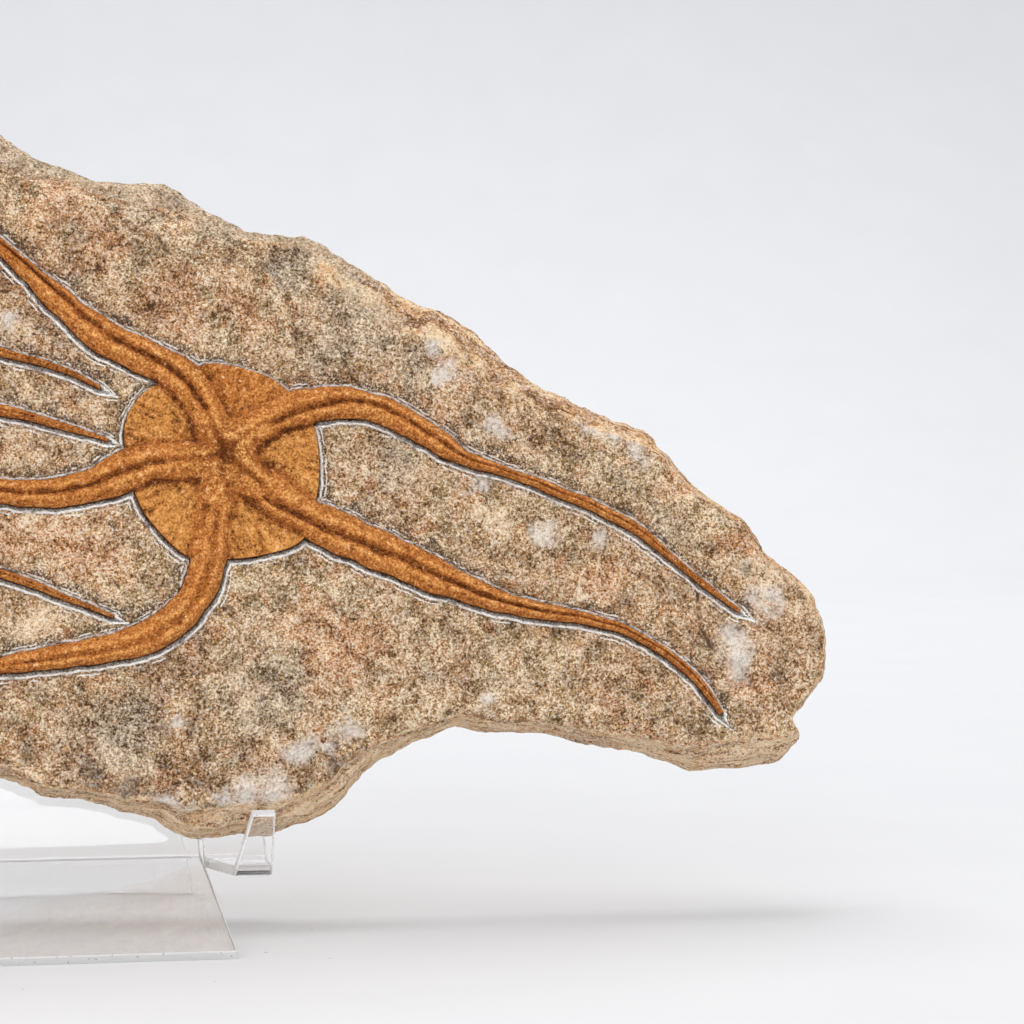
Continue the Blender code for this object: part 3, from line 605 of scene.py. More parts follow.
second_star = {
    "mouth": (-79.0, 99.5),
    "arms": [
        [(-79.0, 99.5, 3.6), (-76.0, 109.0, 3.7), (-71.5, 118.7, 3.7), (-59.5, 128.0, 3.3),
         (-41.0, 130.0, 2.8), (-21.8, 126.4, 2.2), (2.2, 119.0, 1.1), (16.7, 114.9, 0.7),
         (26.6, 110.1, 0.35)],
        [(-79.0, 99.5, 3.6), (-70.5, 102.5, 3.8), (-60.0, 106.0, 3.7), (-43.2, 109.6, 3.0),
         (-21.8, 109.2, 2.4), (2.1, 104.6, 1.35), (16.6, 100.6, 0.85), (28.2, 96.9, 0.35)],
        [(-79.0, 99.5, 3.6), (-76.5, 91.0, 3.7), (-71.8, 82.0, 3.7), (-61.0, 72.6, 3.3), (-43.0, 70.0, 2.7),
         (-21.8, 70.4, 2.1), (1.9, 64.1, 1.1), (16.2, 58.5, 0.75), (29.0, 53.2, 0.35)],
        [(-79.0, 99.5, 3.6), (-85.5, 92.0, 3.7), (-92.5, 84.0, 3.7), (-104.0, 69.0, 3.4),
         (-121.0, 59.8, 2.7), (-141.0, 58.0, 1.8), (-158.0, 63.0, 0.4)],
        [(-79.0, 99.5, 3.6), (-85.0, 106.5, 3.7), (-92.0, 114.0, 3.7), (-105.0, 128.0, 3.4),
         (-125.0, 133.0, 2.6), (-144.0, 125.8, 1.8), (-160.0, 108.5, 0.4)],
    ],
    "disc": [
        (-57.0, 110.0), (-56.0, 100.0), (-59.5, 88.0), (-67.5, 79.5), (-79.0, 77.0), (-90.0, 79.5),
        (-99.0, 88.5), (-102.0, 100.0), (-98.5, 111.5), (-90.0, 119.5), (-79.5, 122.5), (-67.5, 119.0),
    ],
    "grooves": [[(0.0, 0.0), (40.0, 0.0)]] * 5,
    "groove_depths": [0.9, 0.8, 0.9, 1.0, 0.8],
    "furrows": [(0.6, 0.8), (0.4, 0.9), (0.8, 0.5), (0.7, 0.7), (0.5, 0.8)],
    "pits": [(-75.0, 94.0, 1.3, 0.5), (-84.5, 98.0, 1.1, 0.4), (-79.5, 88.0, 1.2, 0.4)],
    "seed": 61,
}
settle(second_star)
SMALL_SPACING = 0.42
second_piece = build_star("small_brittle_star", second_star, SMALL_SPACING)
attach(second_piece, "root")
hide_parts("second_brittle_star")

# ---- The rock slab ----
# One natural flag of ferruginous sandstone, 26 mm thick. Its face was split along the bedding and worked
# round the fossils with steel scribers. The rims are old weathered breaks, and the back is a rough split.

SLAB_THICKNESS = 26.0
TOP_WIDEST = 6.0  # depth of the widest line behind the face, along the top
FOOT_WIDEST = 16.0  # and along the underside
BACK_INSET_TOP = 4.5
BACK_INSET_FOOT = 2.4
COARSE_STEP = 7.5  # between points of the outline that the rim's shape is worked out at
RIM_PARTS = 6  # finer points to each of those
RIM_ROWS = [0, 3, 5, 9, 12, 15, 18, 22]  # rows of the finished rim at each line of its profile
TRENCH_DEPTH = 0.95
TRENCH_WIDTH = 2.3
FACE_FINE = 0.52  # spacing of the face's points beside the fossils
FINE_BAND = 3.6  # width of that band
FACE_COARSE = 1.25  # and elsewhere
BACK_SPACING = 2.6
SLAB_LOW = (-212.0, -2.0)  # u and v of a rectangle that holds the whole slab
SLAB_HIGH = (212.0, 192.0)
STARS_LOW = (-165.0, 20.0)  # and of one that holds both fossils
STARS_HIGH = (192.0, 175.0)

# Clockwise from the top: u, v, and how far inside it the face's own edge lies
slab_outline = [
    (2.5, 175.5, 7.0), (12.0, 169.5, 5.5), (20.0, 167.0, 4.5), (27.0, 164.0, 4.5), (42.0, 164.0, 7.5),
    (52.0, 158.0, 4.5), (64.5, 151.5, 3.5), (77.0, 150.5, 3.5), (87.0, 145.5, 4.5), (100.5, 137.0, 5.5),
    (107.0, 133.0, 5.5), (116.5, 129.0, 5.0), (130.5, 117.0, 5.5), (144.5, 108.0, 5.5),
    (166.0, 99.0, 5.0), (169.5, 94.0, 3.5), (179.0, 83.5, 3.0), (189.0, 76.5, 3.0), (194.5, 68.0, 3.0),
    (203.0, 61.0, 3.0), (208.0, 53.5, 3.0), (209.5, 44.0, 3.0), (209.0, 37.0, 2.5), (203.5, 28.5, 2.5),
    (200.0, 25.0, 2.0), (202.0, 21.0, 3.0), (198.0, 16.5, 5.5), (187.5, 14.3, 6.5), (176.0, 13.8, 5.5),
    (168.0, 16.8, 2.5), (151.5, 21.0, 1.0), (134.0, 24.2, 1.0), (121.0, 24.6, 1.2), (113.5, 26.0, 1.5),
    (105.5, 23.0, 1.8), (96.5, 18.8, 3.5), (88.5, 12.5, 5.5), (84.5, 7.5, 6.0), (79.0, 4.2, 6.2),
    (71.0, 2.0, 6.2), (62.0, 0.2, 6.8), (53.0, -0.2, 6.5), (45.5, 0.6, 5.5), (38.0, 5.0, 3.0),
    (25.0, 9.3, 1.5), (12.0, 11.2, 1.0), (5.0, 14.8, 1.0), (-8.0, 16.4, 1.5), (-27.0, 15.2, 2.0),
    (-46.0, 14.0, 2.0), (-62.0, 12.5, 2.5), (-74.0, 9.0, 4.0), (-84.0, 4.5, 5.5), (-95.0, 1.0, 6.5),
    (-107.0, 0.4, 6.5), (-118.0, 3.6, 6.0), (-128.0, 11.5, 5.0), (-141.0, 22.0, 4.0),
    (-158.0, 30.0, 4.0), (-176.0, 38.5, 4.0), (-190.0, 49.0, 3.5), (-201.0, 62.5, 3.0),
    (-209.5, 80.0, 3.0), (-206.0, 94.0, 3.0), (-196.0, 107.0, 3.5), (-184.0, 121.0, 4.0),
    (-170.0, 133.5, 4.5), (-151.0, 145.0, 5.0), (-134.0, 158.0, 5.0), (-117.0, 169.0, 4.5),
    (-99.0, 177.0, 4.5), (-80.0, 180.5, 4.0), (-63.0, 185.5, 4.5), (-45.0, 189.5, 5.0),
    (-27.0, 188.5, 6.0), (-12.0, 183.0, 6.5),
]

# Steps where one layer of the split ends: a line on the face, the side of it that stands higher
# (1 is the left of the line), how much, and how far back from the line the rise dies away
face_steps = [
    ([(54.1, 150.3), (65.7, 142.7), (71.3, 134.8), (74.1, 123.2), (74.6, 113.8)], -1, 1.1, 22.0),
    ([(106.0, 130.5), (111.9, 124.7), (118.8, 115.9), (125.4, 107.5), (127.0, 99.4)], -1, 1.0, 16.0),
    ([(-4.0, 168.0), (2.5, 164.9), (12.8, 162.7), (19.6, 161.3), (25.7, 158.5), (31.4, 153.2),
      (35.5, 149.6), (39.7, 151.7), (49.2, 152.9), (57.0, 149.0)], -1, 1.0, 14.0),
    ([(163.0, 95.5), (167.4, 90.7), (168.8, 83.7), (176.5, 81.1), (184.0, 76.0)], -1, 0.8, 10.0),
    ([(178.6, 42.9), (184.8, 39.0), (189.6, 32.6), (192.0, 27.0)], 1, 0.8, 9.0),
    ([(77.0, 55.0), (84.0, 49.0), (90.0, 42.0), (99.0, 37.0)], 1, 0.6, 9.0),
    ([(-130.0, 150.0), (-112.0, 146.0), (-98.0, 152.0), (-80.0, 158.0), (-62.0, 162.0)], -1, 1.2, 18.0),
    ([(-186.0, 92.0), (-176.0, 84.0), (-172.0, 70.0), (-178.0, 60.0)], 1, 0.9, 14.0),
    ([(-70.0, 40.0), (-52.0, 44.0), (-38.0, 52.0), (-20.0, 50.0)], -1, 0.7, 12.0),
    ([(-118.0, 36.0), (-104.0, 30.0), (-92.0, 22.0), (-80.0, 20.0)], 1, 0.8, 12.0),
]

# Fine cracks, as lines on the face
face_cracks = [
    [(175.4, 60.1), (174.8, 54.0), (175.4, 48.0), (178.6, 42.9), (181.0, 41.0)],
    [(87.0, 118.7), (87.9, 114.1), (92.5, 109.2)],
    [(39.0, 150.5), (42.5, 146.5), (44.0, 142.0)],
    [(-150.0, 118.0), (-146.0, 108.0), (-149.0, 98.0), (-143.0, 90.0)],
]

# Patches of another colour on the face: u, v and size
pink_patches = [
    (14.6, 152.0, 13.0), (28.0, 146.0, 9.0), (9.0, 140.0, 8.0), (44.0, 133.0, 12.0), (62.0, 130.0, 9.0),
    (16.0, 72.0, 13.0), (27.0, 65.0, 9.0), (4.0, 74.0, 9.0), (86.0, 44.0, 12.0), (77.0, 52.0, 8.0),
    (170.0, 86.0, 7.0), (188.0, 70.0, 8.0), (150.0, 60.0, 9.0), (186.0, 34.0, 7.0),
    (-40.0, 150.0, 16.0), (-120.0, 100.0, 18.0), (-60.0, 30.0, 14.0), (-175.0, 80.0, 14.0),
]
grey_patches = [
    (10.0, 168.0, 7.0), (22.0, 164.0, 5.0), (47.0, 159.0, 5.0), (55.0, 152.0, 7.0), (76.0, 146.0, 7.0),
    (92.0, 128.0, 14.0), (84.0, 120.0, 9.0), (104.0, 114.0, 8.0), (37.0, 154.5, 6.0), (100.0, 92.0, 9.0),
    (58.0, 152.0, 6.0), (74.0, 140.0, 8.0), (30.0, 24.0, 16.0), (66.0, 34.0, 14.0), (165.0, 72.0, 8.0),
    (-80.0, 150.0, 18.0), (-30.0, 98.0, 10.0), (-150.0, 90.0, 14.0), (-100.0, 40.0, 15.0),
]
cream_patches = [
    (10.2, 51.3, 7.0), (4.5, 120.0, 7.0), (12.0, 104.0, 6.0), (125.0, 77.0, 6.0), (136.0, 72.0, 5.0),
    (-20.0, 140.0, 9.0), (-138.0, 80.0, 10.0), (192.0, 62.0, 7.0), (20.0, 58.0, 5.0),
]
calcite_patches = [
    (110.0, 121.0, 1.8), (112.3, 113.4, 2.0), (109.8, 111.8, 1.5), (113.9, 115.4, 1.3),
    (124.4, 100.8, 1.9), (127.1, 98.5, 1.5), (160.2, 93.0, 2.6), (148.9, 100.5, 2.4), (155.0, 98.0, 1.6),
    (184.9, 40.3, 3.6), (183.2, 45.0, 2.6), (190.7, 54.1, 2.8), (194.7, 56.4, 2.0), (73.7, 18.6, 2.8),
    (84.8, 24.5, 2.4), (66.5, 10.0, 3.4), (60.3, 9.0, 3.0), (55.0, 8.2, 1.6), (121.0, 31.2, 1.5),
    (150.3, 71.1, 1.6), (42.0, 7.3, 2.4), (46.0, 4.0, 2.4), (120.3, 85.2, 1.6), (136.3, 72.4, 2.2),
    (4.7, 127.0, 1.6), (44.6, 27.0, 1.0), (81.0, 20.5, 1.4), (-60.0, 148.0, 2.6), (-112.0, 60.0, 2.4),
    (-168.0, 96.0, 3.0), (-36.0, 24.0, 2.6),
]
dark_patches = [
    (41.5, 25.4, 3.6), (32.5, 12.5, 4.5), (24.0, 15.0, 4.0), (82.0, 17.0, 4.0), (76.0, 13.0, 3.2),
    (163.1, 70.5, 3.2), (166.0, 66.5, 2.6), (50.0, 11.5, 3.0), (187.0, 63.0, 3.0), (88.0, 128.0, 3.0),
    (-96.0, 140.0, 5.0), (-140.0, 50.0, 5.0), (8.0, 19.0, 4.0),
]

# Broad places painted darker or lighter as shade and light: u, v, size, and how much lighter than the rest
shade_patches = [
    (38.0, 30.0, 22.0, -0.6), (66.0, 145.0, 8.0, -0.7), (93.0, 50.0, 12.0, -0.25), (17.0, 71.0, 10.0, 0.6),
    (9.0, 53.0, 8.0, 0.8), (176.0, 18.0, 8.0, -0.5), (120.0, 52.0, 14.0, -0.25), (-40.0, 60.0, 20.0, 0.4),
    (-150.0, 60.0, 24.0, -0.5), (-100.0, 140.0, 20.0, 0.4),
]


def outward(ring):
    """Directions out of a clockwise ring, averaged over neighbours so that offsets don't cross."""
    along = np.roll(ring[:, :2], -1, axis=0) - np.roll(ring[:, :2], 1, axis=0)
    along /= np.hypot(along[:, 0], along[:, 1])[:, None]
    plain = np.column_stack([-along[:, 1], along[:, 0]])
    mixed = np.roll(plain, 1, axis=0) + 2.0 * plain + np.roll(plain, -1, axis=0)
    return mixed / np.hypot(mixed[:, 0], mixed[:, 1])[:, None]


def patch_share(u, v, patches, seed):
    """1 in the middle of the nearest patch and 0 outside all, with an uneven edge."""
    share = np.zeros(len(u))
    for patch_u, patch_v, size in patches:
        away = np.hypot(u - patch_u, v - patch_v) / size
        share = np.maximum(share, 1.0 - away + 0.45 * rough(u, v, 0.9 * size, seed))
    return np.clip(share, 0.0, 1.0)


def line_distance(u, v, line):
    """Distance from a line, side of it, length run along it, and its whole length."""
    route = smooth_route([(a, b, 0.0) for a, b in line], 2.0)
    offset, side, _, along = from_route(u, v, route, reach=30.0)
    whole = np.hypot(*np.diff(route[:, :2], axis=0).T).sum()
    return np.hypot(offset[:, 0], offset[:, 1]), side, along, whole


stars = (large_star, second_star)
coarse = smooth_route(slab_outline, COARSE_STEP, closed=True)
out = outward(coarse)
round_rim = np.cumsum(np.hypot(*(coarse[:, :2] - np.roll(coarse[:, :2], 1, axis=0)).T))
under = np.clip(0.5 - 0.9 * out[:, 1], 0.0, 1.0)  # 1 on the underside, 0 along the top
widest = TOP_WIDEST + (FOOT_WIDEST - TOP_WIDEST) * under
back_inset = BACK_INSET_TOP + (BACK_INSET_FOOT - BACK_INSET_TOP) * under
behind = SLAB_THICKNESS - widest
inset = coarse[:, 2]
# How far out and how deep each line of the rim's profile lies, from the face's edge to the back's
profile = [
    (-inset, 0.0 * widest),
    (-0.62 * inset, -0.28 * widest),
    (-0.36 * inset, -0.42 * widest),
    (0.0 * inset, -widest),
    (-0.1 * back_inset, -widest - 0.22 * behind),
    (-0.3 * back_inset, -widest - 0.45 * behind),
    (-0.5 * back_inset, -widest - 0.72 * behind),
    (-back_inset, -SLAB_THICKNESS + 0.0 * widest),
]
lines = []
for offset, depth in profile:
    line = np.column_stack([coarse[:, :2] + out * offset[:, None], depth])
    count = len(line)
    fine = []
    for i in range(count):
        before, start, end, after = (line[(i + k) % count] for k in (-1, 0, 1, 2))
        fine += [curve_point(before, start, end, after, k / RIM_PARTS) for k in range(RIM_PARTS)]
    lines.append(np.array(fine))
rim_out = outward(lines[3])
rim_length = np.cumsum(np.hypot(*(lines[3][:, :2] - np.roll(lines[3][:, :2], 1, axis=0)).T))
rim_under = np.interp(rim_length, round_rim / round_rim[-1] * rim_length[-1], under)
rows = []
for row in range(RIM_ROWS[-1] + 1):
    level = int(np.searchsorted(RIM_ROWS, row, side="right")) - 1
    level = min(level, len(RIM_ROWS) - 2)
    t = (row - RIM_ROWS[level]) / (RIM_ROWS[level + 1] - RIM_ROWS[level])
    rows.append(lines[level] * (1.0 - t) + lines[level + 1] * t)

# The layers of the rock show as ledges along the rims, most of all on the underside
LAYERS = [-2.6, -4.4, -7.5, -9.4, -12.6, -14.2, -17.8, -20.0, -23.2]
for number, row in enumerate(rows):
    depth = row[:, 2] + 0.9 * bumps(rim_length, 0.0 * rim_length, 26.0, 301)
    layer = np.searchsorted(-np.array(LAYERS), -depth)
    ledge = 0.5 + 0.5 * bumps(rim_length, 37.0 * layer, 17.0, 305)
    ledge_size = (0.5 + 1.3 * rim_under) * ramp(-row[:, 2], 0.4, 2.5)
    chips = np.abs(rough(rim_length, 1.7 * row[:, 2], 6.5, 311)) * 0.75
    waver = 0.55 * rough(rim_length, 0.0 * rim_length, 9.0, 321)
    by_back = np.exp(-(((row[:, 2] + SLAB_THICKNESS) / 1.6) ** 2))
    back_chips = -0.9 * by_back * np.abs(bumps(rim_length, 0.0, 4.0, 331))
    shift = waver - ledge_size * ledge - chips + back_chips + 0.4 * ledge_size + 0.2
    row[:, :2] += rim_out * shift[:, None]
face_ring = rows[0]
back_ring = rows[-1]

# The face, finer beside the fossils, with the cut trench round them
outer_loops = star_loops(stars, 0.14)
inner_loops = star_loops(stars, 0.03)
fine_u, fine_v = staggered(STARS_LOW, STARS_HIGH, FACE_FINE)
fine_from, _ = star_edge(fine_u, fine_v, large_star)
fine_from = np.minimum(fine_from, star_edge(fine_u, fine_v, second_star)[0])
kept = (fine_from > 0.55) & (fine_from < FINE_BAND)
open_u, open_v = staggered(SLAB_LOW, SLAB_HIGH, FACE_COARSE)
open_from, _ = star_edge(open_u, open_v, large_star)
open_from = np.minimum(open_from, star_edge(open_u, open_v, second_star)[0])
open_kept = (open_from > 3.8) | ((open_from < -0.6) & (np.arange(len(open_u)) % 4 == 0))
loose_u = np.concatenate([fine_u[kept], open_u[open_kept]])
loose_v = np.concatenate([fine_v[kept], open_v[open_kept]])
closed_face = closed_route(face_ring[::3])
offset, _, _, _ = from_route(loose_u, loose_v, closed_face)
inside = inside_ring(loose_u, loose_v, face_ring) & (np.hypot(offset[:, 0], offset[:, 1]) > 0.8)
corners, triangles = flat_triangles(
    [face_ring[:, :2]], loose_u[inside], loose_v[inside], cuts=outer_loops + inner_loops
)
u, v = corners.T
from_large, up_large = star_edge(u, v, large_star)
from_second, up_second = star_edge(u, v, second_star)
from_star = np.minimum(from_large, from_second)
upward = np.where(from_large < from_second, up_large, up_second)
offset, _, _, _ = from_route(u, v, closed_face)
from_rim = np.hypot(offset[:, 0], offset[:, 1])

CHUNKS_FROM, CHUNKS_FULL = 108.0, 124.0  # v at which the crumbly rusty rock of the upper part sets in
STEP_HALF = 0.9  # half the width of a step's slope
CRACK_HALF = 0.55
CRACK_DEPTH = 0.7
pink = patch_share(u, v, pink_patches, 401)
upper_part = ramp(v, CHUNKS_FROM, CHUNKS_FULL)
open_rock = 0.35 + 0.65 * ramp(from_star, 1.0, 12.0)
broad = open_rock * rough(u, v, 11.0, 111)
knobs = rough(u, v, 4.6, 121) * (0.5 + 0.5 * ramp(from_star, 0.5, 5.0))
chunk_tops = 1.0 - 2.0 * np.abs(rough(u, v, 5.0, 141))
chunks = upper_part * pink * chunk_tops * ramp(from_star, 1.0, 4.0)
face = swell(u, v) + 0.5 * open_rock * rough(u, v, 34.0, 101) + 0.75 * broad + 0.55 * knobs + 0.8 * chunks
# Painted shade and highlight: knobs and crumbly tops lighter, hollows and the crumbly upper part darker
relief_shading = 0.55 * broad + 0.65 * knobs + 0.9 * chunks - 0.9 * upper_part * pink
for patch_u, patch_v, size, lighter in shade_patches:
    relief_shading += lighter * np.exp(-((u - patch_u) ** 2 + (v - patch_v) ** 2) / size**2)
for line, higher_side, rise, reach in face_steps:
    away, side, along, whole = line_distance(u, v, line)
    signed = away * side * higher_side + 0.5 * bumps(u, v, 3.0, 151)
    ends = ramp(along, 0.0, 7.0) * (1.0 - ramp(along, whole - 7.0, whole))
    step = rise * ends * ramp(signed, -STEP_HALF, STEP_HALF) * np.exp(-np.maximum(signed, 0.0) / reach)
    clear = (away < 29.0) * (0.25 + 0.75 * ramp(from_star, 1.0, 8.0))
    face += 1.35 * step * clear
    # Painted highlight along a step's crest and painted shadow at its foot
    lip = np.exp(-(((signed - STEP_HALF) / STEP_HALF) ** 2))
    lip = lip - 1.3 * np.exp(-(((signed + STEP_HALF) / STEP_HALF) ** 2))
    relief_shading += 0.9 * ends * clear * lip
crack = np.zeros(len(u))
for line in face_cracks:
    away, _, along, whole = line_distance(u, v, line)
    ends = ramp(along, 0.0, 3.0) * (1.0 - ramp(along, whole - 3.0, whole))
    crack = np.maximum(crack, np.exp(-((away / CRACK_HALF) ** 2)) * ends)
face -= CRACK_DEPTH * crack
top_side = ramp(v - 60.0 - 0.25 * np.abs(u), 0.0, 30.0)
rim_width = 3.5 + 6.5 * top_side + 1.5 * bumps(u, v, 14.0, 161)
rim_fall = (1.0 - np.clip(from_rim / rim_width, 0.0, 1.0)) ** 1.6 * (0.5 + 1.5 * top_side)
face -= rim_fall
trench = np.clip(1.0 - from_star / TRENCH_WIDTH, 0.0, 1.0)
scratch = 0.14 * rough(u, v, 1.6, 171, octaves=2)
face = face - TRENCH_DEPTH * trench**1.15 + scratch * (trench > 0.0)
face = np.where(from_star < 0.085, -FOSSIL_DEPTH - 0.4, face)

# The rim and the back
total = len(u)
ring_numbers, _ = nearest_corners(face_ring[:, :2], corners)
places = [to_world(u, v, face)]
all_u, all_v, all_w = [u], [v], [face]
row_numbers = [ring_numbers]
edge_depth = face[ring_numbers]
for number, row in enumerate(rows[1:], start=1):
    settle_share = max(0.0, 1.0 - number / RIM_ROWS[3])
    depth = row[:, 2] + edge_depth * settle_share
    if number == RIM_ROWS[-1]:
        depth = row[:, 2]
    places.append(to_world(row[:, 0], row[:, 1], depth))
    all_u.append(row[:, 0])
    all_v.append(row[:, 1])
    all_w.append(depth)
    row_numbers.append(total + np.arange(len(row)))
    total += len(row)
faces = triangles.tolist()
for upper, lower in zip(row_numbers, row_numbers[1:]):
    before_upper = np.roll(upper, 1)
    before_lower = np.roll(lower, 1)
    faces += np.column_stack([before_upper, upper, lower, before_lower]).tolist()
loose_u, loose_v = staggered(SLAB_LOW, SLAB_HIGH, BACK_SPACING)
closed_back = closed_route(back_ring[::3])
offset, _, _, _ = from_route(loose_u, loose_v, closed_back)
kept = inside_ring(loose_u, loose_v, back_ring) & (np.hypot(offset[:, 0], offset[:, 1]) > 1.5)
back_corners, back_triangles = flat_triangles([back_ring[:, :2]], loose_u[kept], loose_v[kept])
bu, bv = back_corners.T
offset, _, _, _ = from_route(bu, bv, closed_back)
from_back_rim = np.hypot(offset[:, 0], offset[:, 1])
upper_share = ramp(bv, 105.0, 130.0) * ramp(from_back_rim, 0.0, 12.0)
scallop = 0.5 + 0.5 * np.sin(bu / 27.0) * np.sin(bv / 19.0 + bu / 55.0)
flakes = 0.9 * ramp(rough(bu, bv, 26.0, 201), -0.2, 0.15) + 0.6 * ramp(rough(bu, bv, 12.0, 205), 0.0, 0.2)
hollow_back = 1.6 * upper_share * scallop + ramp(from_back_rim, 0.0, 4.0) * (
    0.3 * flakes + 0.35 * np.abs(rough(bu, bv, 7.0, 211)) + 0.7 * flakes * upper_share
)
back_depth = -SLAB_THICKNESS + hollow_back
shared, away = nearest_corners(back_corners, back_ring[:, :2])
fresh = np.flatnonzero(away > 0.005)
back_numbers = row_numbers[-1][shared]
back_numbers[fresh] = total + np.arange(len(fresh))
places.append(to_world(bu[fresh], bv[fresh], back_depth[fresh]))
all_u.append(bu[fresh])
all_v.append(bv[fresh])
all_w.append(back_depth[fresh])
faces += back_numbers[back_triangles[:, ::-1]].tolist()
low, high = (np.array(corner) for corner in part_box("rock_slab"))
slab_places = np.clip(np.vstack(places), low, high)

# Ferruginous sandstone: quartz grains of 0.3 to 1 mm in a clay and iron cement, with no gloss. Each grain
# is cream, tan or dark brown, and the cement tints whole patches rusty, grey, cream or olive. Knobs and
# step crests are painted lighter as highlight, and hollows and step feet are painted darker as shade.
# Cuts show white bruised lines, and calcite leaves a white haze.
TAN_ROCK = "#B0875F"
OLIVE_ROCK = "#9C7F57"
RUST_ROCK = "#B2794B"
PINK_ROCK = "#BF8659"
CREAM_ROCK = "#D6B894"
GREY_ROCK = "#A8967E"
WHITE_HAZE = "#DCD4CB"
RIM_TAN = "#CC9C6C"
RIM_PALE = "#E4C59B"
RIM_BROWN = "#7E5230"
DARK_CEMENT_AND_SHADE = "#4E3621"
PALE_QUARTZ_AND_HIGHLIGHT = "#F0D8B6"
YELLOW_GRAIN = "#DCAA62"
BLACK_GRAIN = "#352A22"
CHARCOAL = "#4A4138"
SCRATCH_DARK = "#6A645E"
SCRATCH_GREY = "#ABA49C"
SCRATCH_WHITE = "#F3F0EB"

sandstone, tree, shader, place = new_finish("ferruginous sandstone, split and weathered")
mark = {}  # numbers that are painted on the slab's corners further down
for name in ("cut", "upward", "rim", "layer", "relief_shading", "pink", "grey", "cream", "calcite", "dark", "crack"):
    mark[name] = add_node(tree, "ShaderNodeAttribute", output="Fac", attribute_name=name)
noise = {}  # name, size in millimetres, detail, and how far it is twisted out of its cells
for name, size, detail, twist in (
    ("grit", 0.5, 1.0, 0.0), ("grain", 0.95, 1.5, 0.4), ("clump", 2.8, 2.0, 0.4), ("mottle", 8.0, 2.0, 0.4),
    ("cloud", 30.0, 2.0, 0.0), ("waver", 2.2, 2.0, 0.0), ("breaks", 6.0, 2.0, 0.0),
):
    inputs = {"Vector": place, "Scale": 1.0 / size, "Detail": detail, "Roughness": 0.7, "Distortion": twist}
    noise[name] = add_node(tree, "ShaderNodeTexNoise", inputs)

# Chips of 2 to 5 mm, which the splitting left, each with its own tone and slope
CHIP_SIZE = 3.6
bent = noise["waver"].node.outputs["Color"]
inputs = {0: bent, 1: (2.6, 2.6, 2.6), 2: place}
bent_place = add_node(tree, "ShaderNodeVectorMath", inputs, operation="MULTIPLY_ADD")
chips = add_node(tree, "ShaderNodeTexVoronoi", {"Vector": bent_place, "Scale": 1.0 / CHIP_SIZE}).node.outputs
chip_kind = add_node(tree, "ShaderNodeSeparateColor", {0: chips["Color"]}).node.outputs

# The cement's tint. A patch's edge is broken up by the mottling
colour = tinted(tree, linear(TAN_ROCK), (
    (OLIVE_ROCK, noise["cloud"], 0.44, 0.60, 0.9),
    (RUST_ROCK, noise["mottle"], 0.54, 0.72, 0.7),
    (GREY_ROCK, noise["mottle"], 0.45, 0.28, 0.7),
    (CREAM_ROCK, noise["clump"], 0.60, 0.75, 0.6),
    (RUST_ROCK, chip_kind[1], 0.80, 0.84, 0.7),
    (OLIVE_ROCK, chip_kind[2], 0.80, 0.84, 0.6),
))

# Rims: a tan crust in thin layers of pale and brown, which run along the bedding. The layers are about
# 1.6 mm thick and change tone over about 16 mm
ALONG_LAYERS = 0.06
ACROSS_LAYERS = 0.62
split = add_node(tree, "ShaderNodeSeparateXYZ", {0: place}).node.outputs
inputs = {
    0: add_node(tree, "ShaderNodeMath", {0: split["X"], 1: ALONG_LAYERS}, operation="MULTIPLY"),
    1: add_node(tree, "ShaderNodeMath", {0: mark["layer"], 1: ACROSS_LAYERS}, operation="MULTIPLY"),
    2: add_node(tree, "ShaderNodeMath", {0: split["Z"], 1: ALONG_LAYERS}, operation="MULTIPLY"),
}
layer_place = add_node(tree, "ShaderNodeCombineXYZ", inputs)
inputs = {"Vector": layer_place, "Scale": 1.0, "Detail": 4.0, "Roughness": 0.65}
layering = add_node(tree, "ShaderNodeTexNoise", inputs)
rim_colour = tinted(tree, linear(RIM_TAN), (
    (RUST_ROCK, noise["mottle"], 0.48, 0.60, 0.9),
    (RIM_PALE, layering, 0.51, 0.57, 1.0),
    (RIM_BROWN, layering, 0.48, 0.41, 1.0),
))
wavy = add_node(tree, "ShaderNodeMath", {0: noise["clump"], 1: 0.7, 2: mark["rim"]}, operation="MULTIPLY_ADD")
rim = add_node(tree, "ShaderNodeMapRange", {"Value": wavy, 1: 0.60, 2: 1.10})
colour = add_node(tree, "ShaderNodeMix", {0: rim, 6: colour, 7: rim_colour}, output=2, data_type="RGBA")

# Patches, whose edges are broken up by the mottling
for tint, patch, most in (
    (GREY_ROCK, mark["grey"], 0.8), (PINK_ROCK, mark["pink"], 0.85), (CREAM_ROCK, mark["cream"], 0.8)
):
    value = add_node(tree, "ShaderNodeMath", {0: noise["mottle"], 1: 1.0, 2: patch}, operation="MULTIPLY_ADD")
    colour = tinted(tree, colour, [(tint, value, 0.5, 1.15, most)])

# Tone: 0 is dark cement and painted shade, 0.5 the tint itself and 1 pale quartz and painted highlight.
# The noises are 0.5 on average
tone = 0.5 - 0.5 * (1.9 + 1.1 + 0.55 + 0.4 + 0.3 + 0.22)
for part, weight in (
    (noise["grit"], 1.9), (noise["grain"], 1.1), (noise["clump"], 0.55), (noise["mottle"], 0.4),
    (noise["cloud"], 0.3), (chip_kind[0], 0.22), (mark["relief_shading"], 0.2),
):
    tone = add_node(tree, "ShaderNodeMath", {0: part, 1: weight, 2: tone}, operation="MULTIPLY_ADD")
even = add_node(tree, "ShaderNodeMath", {0: rim, 1: -0.3, 2: 1.0}, operation="MULTIPLY_ADD")
tone = add_node(tree, "ShaderNodeMath", {0: tone, 1: 0.5}, operation="SUBTRACT")
tone = add_node(tree, "ShaderNodeMath", {0: tone, 1: even, 2: 0.5}, operation="MULTIPLY_ADD")
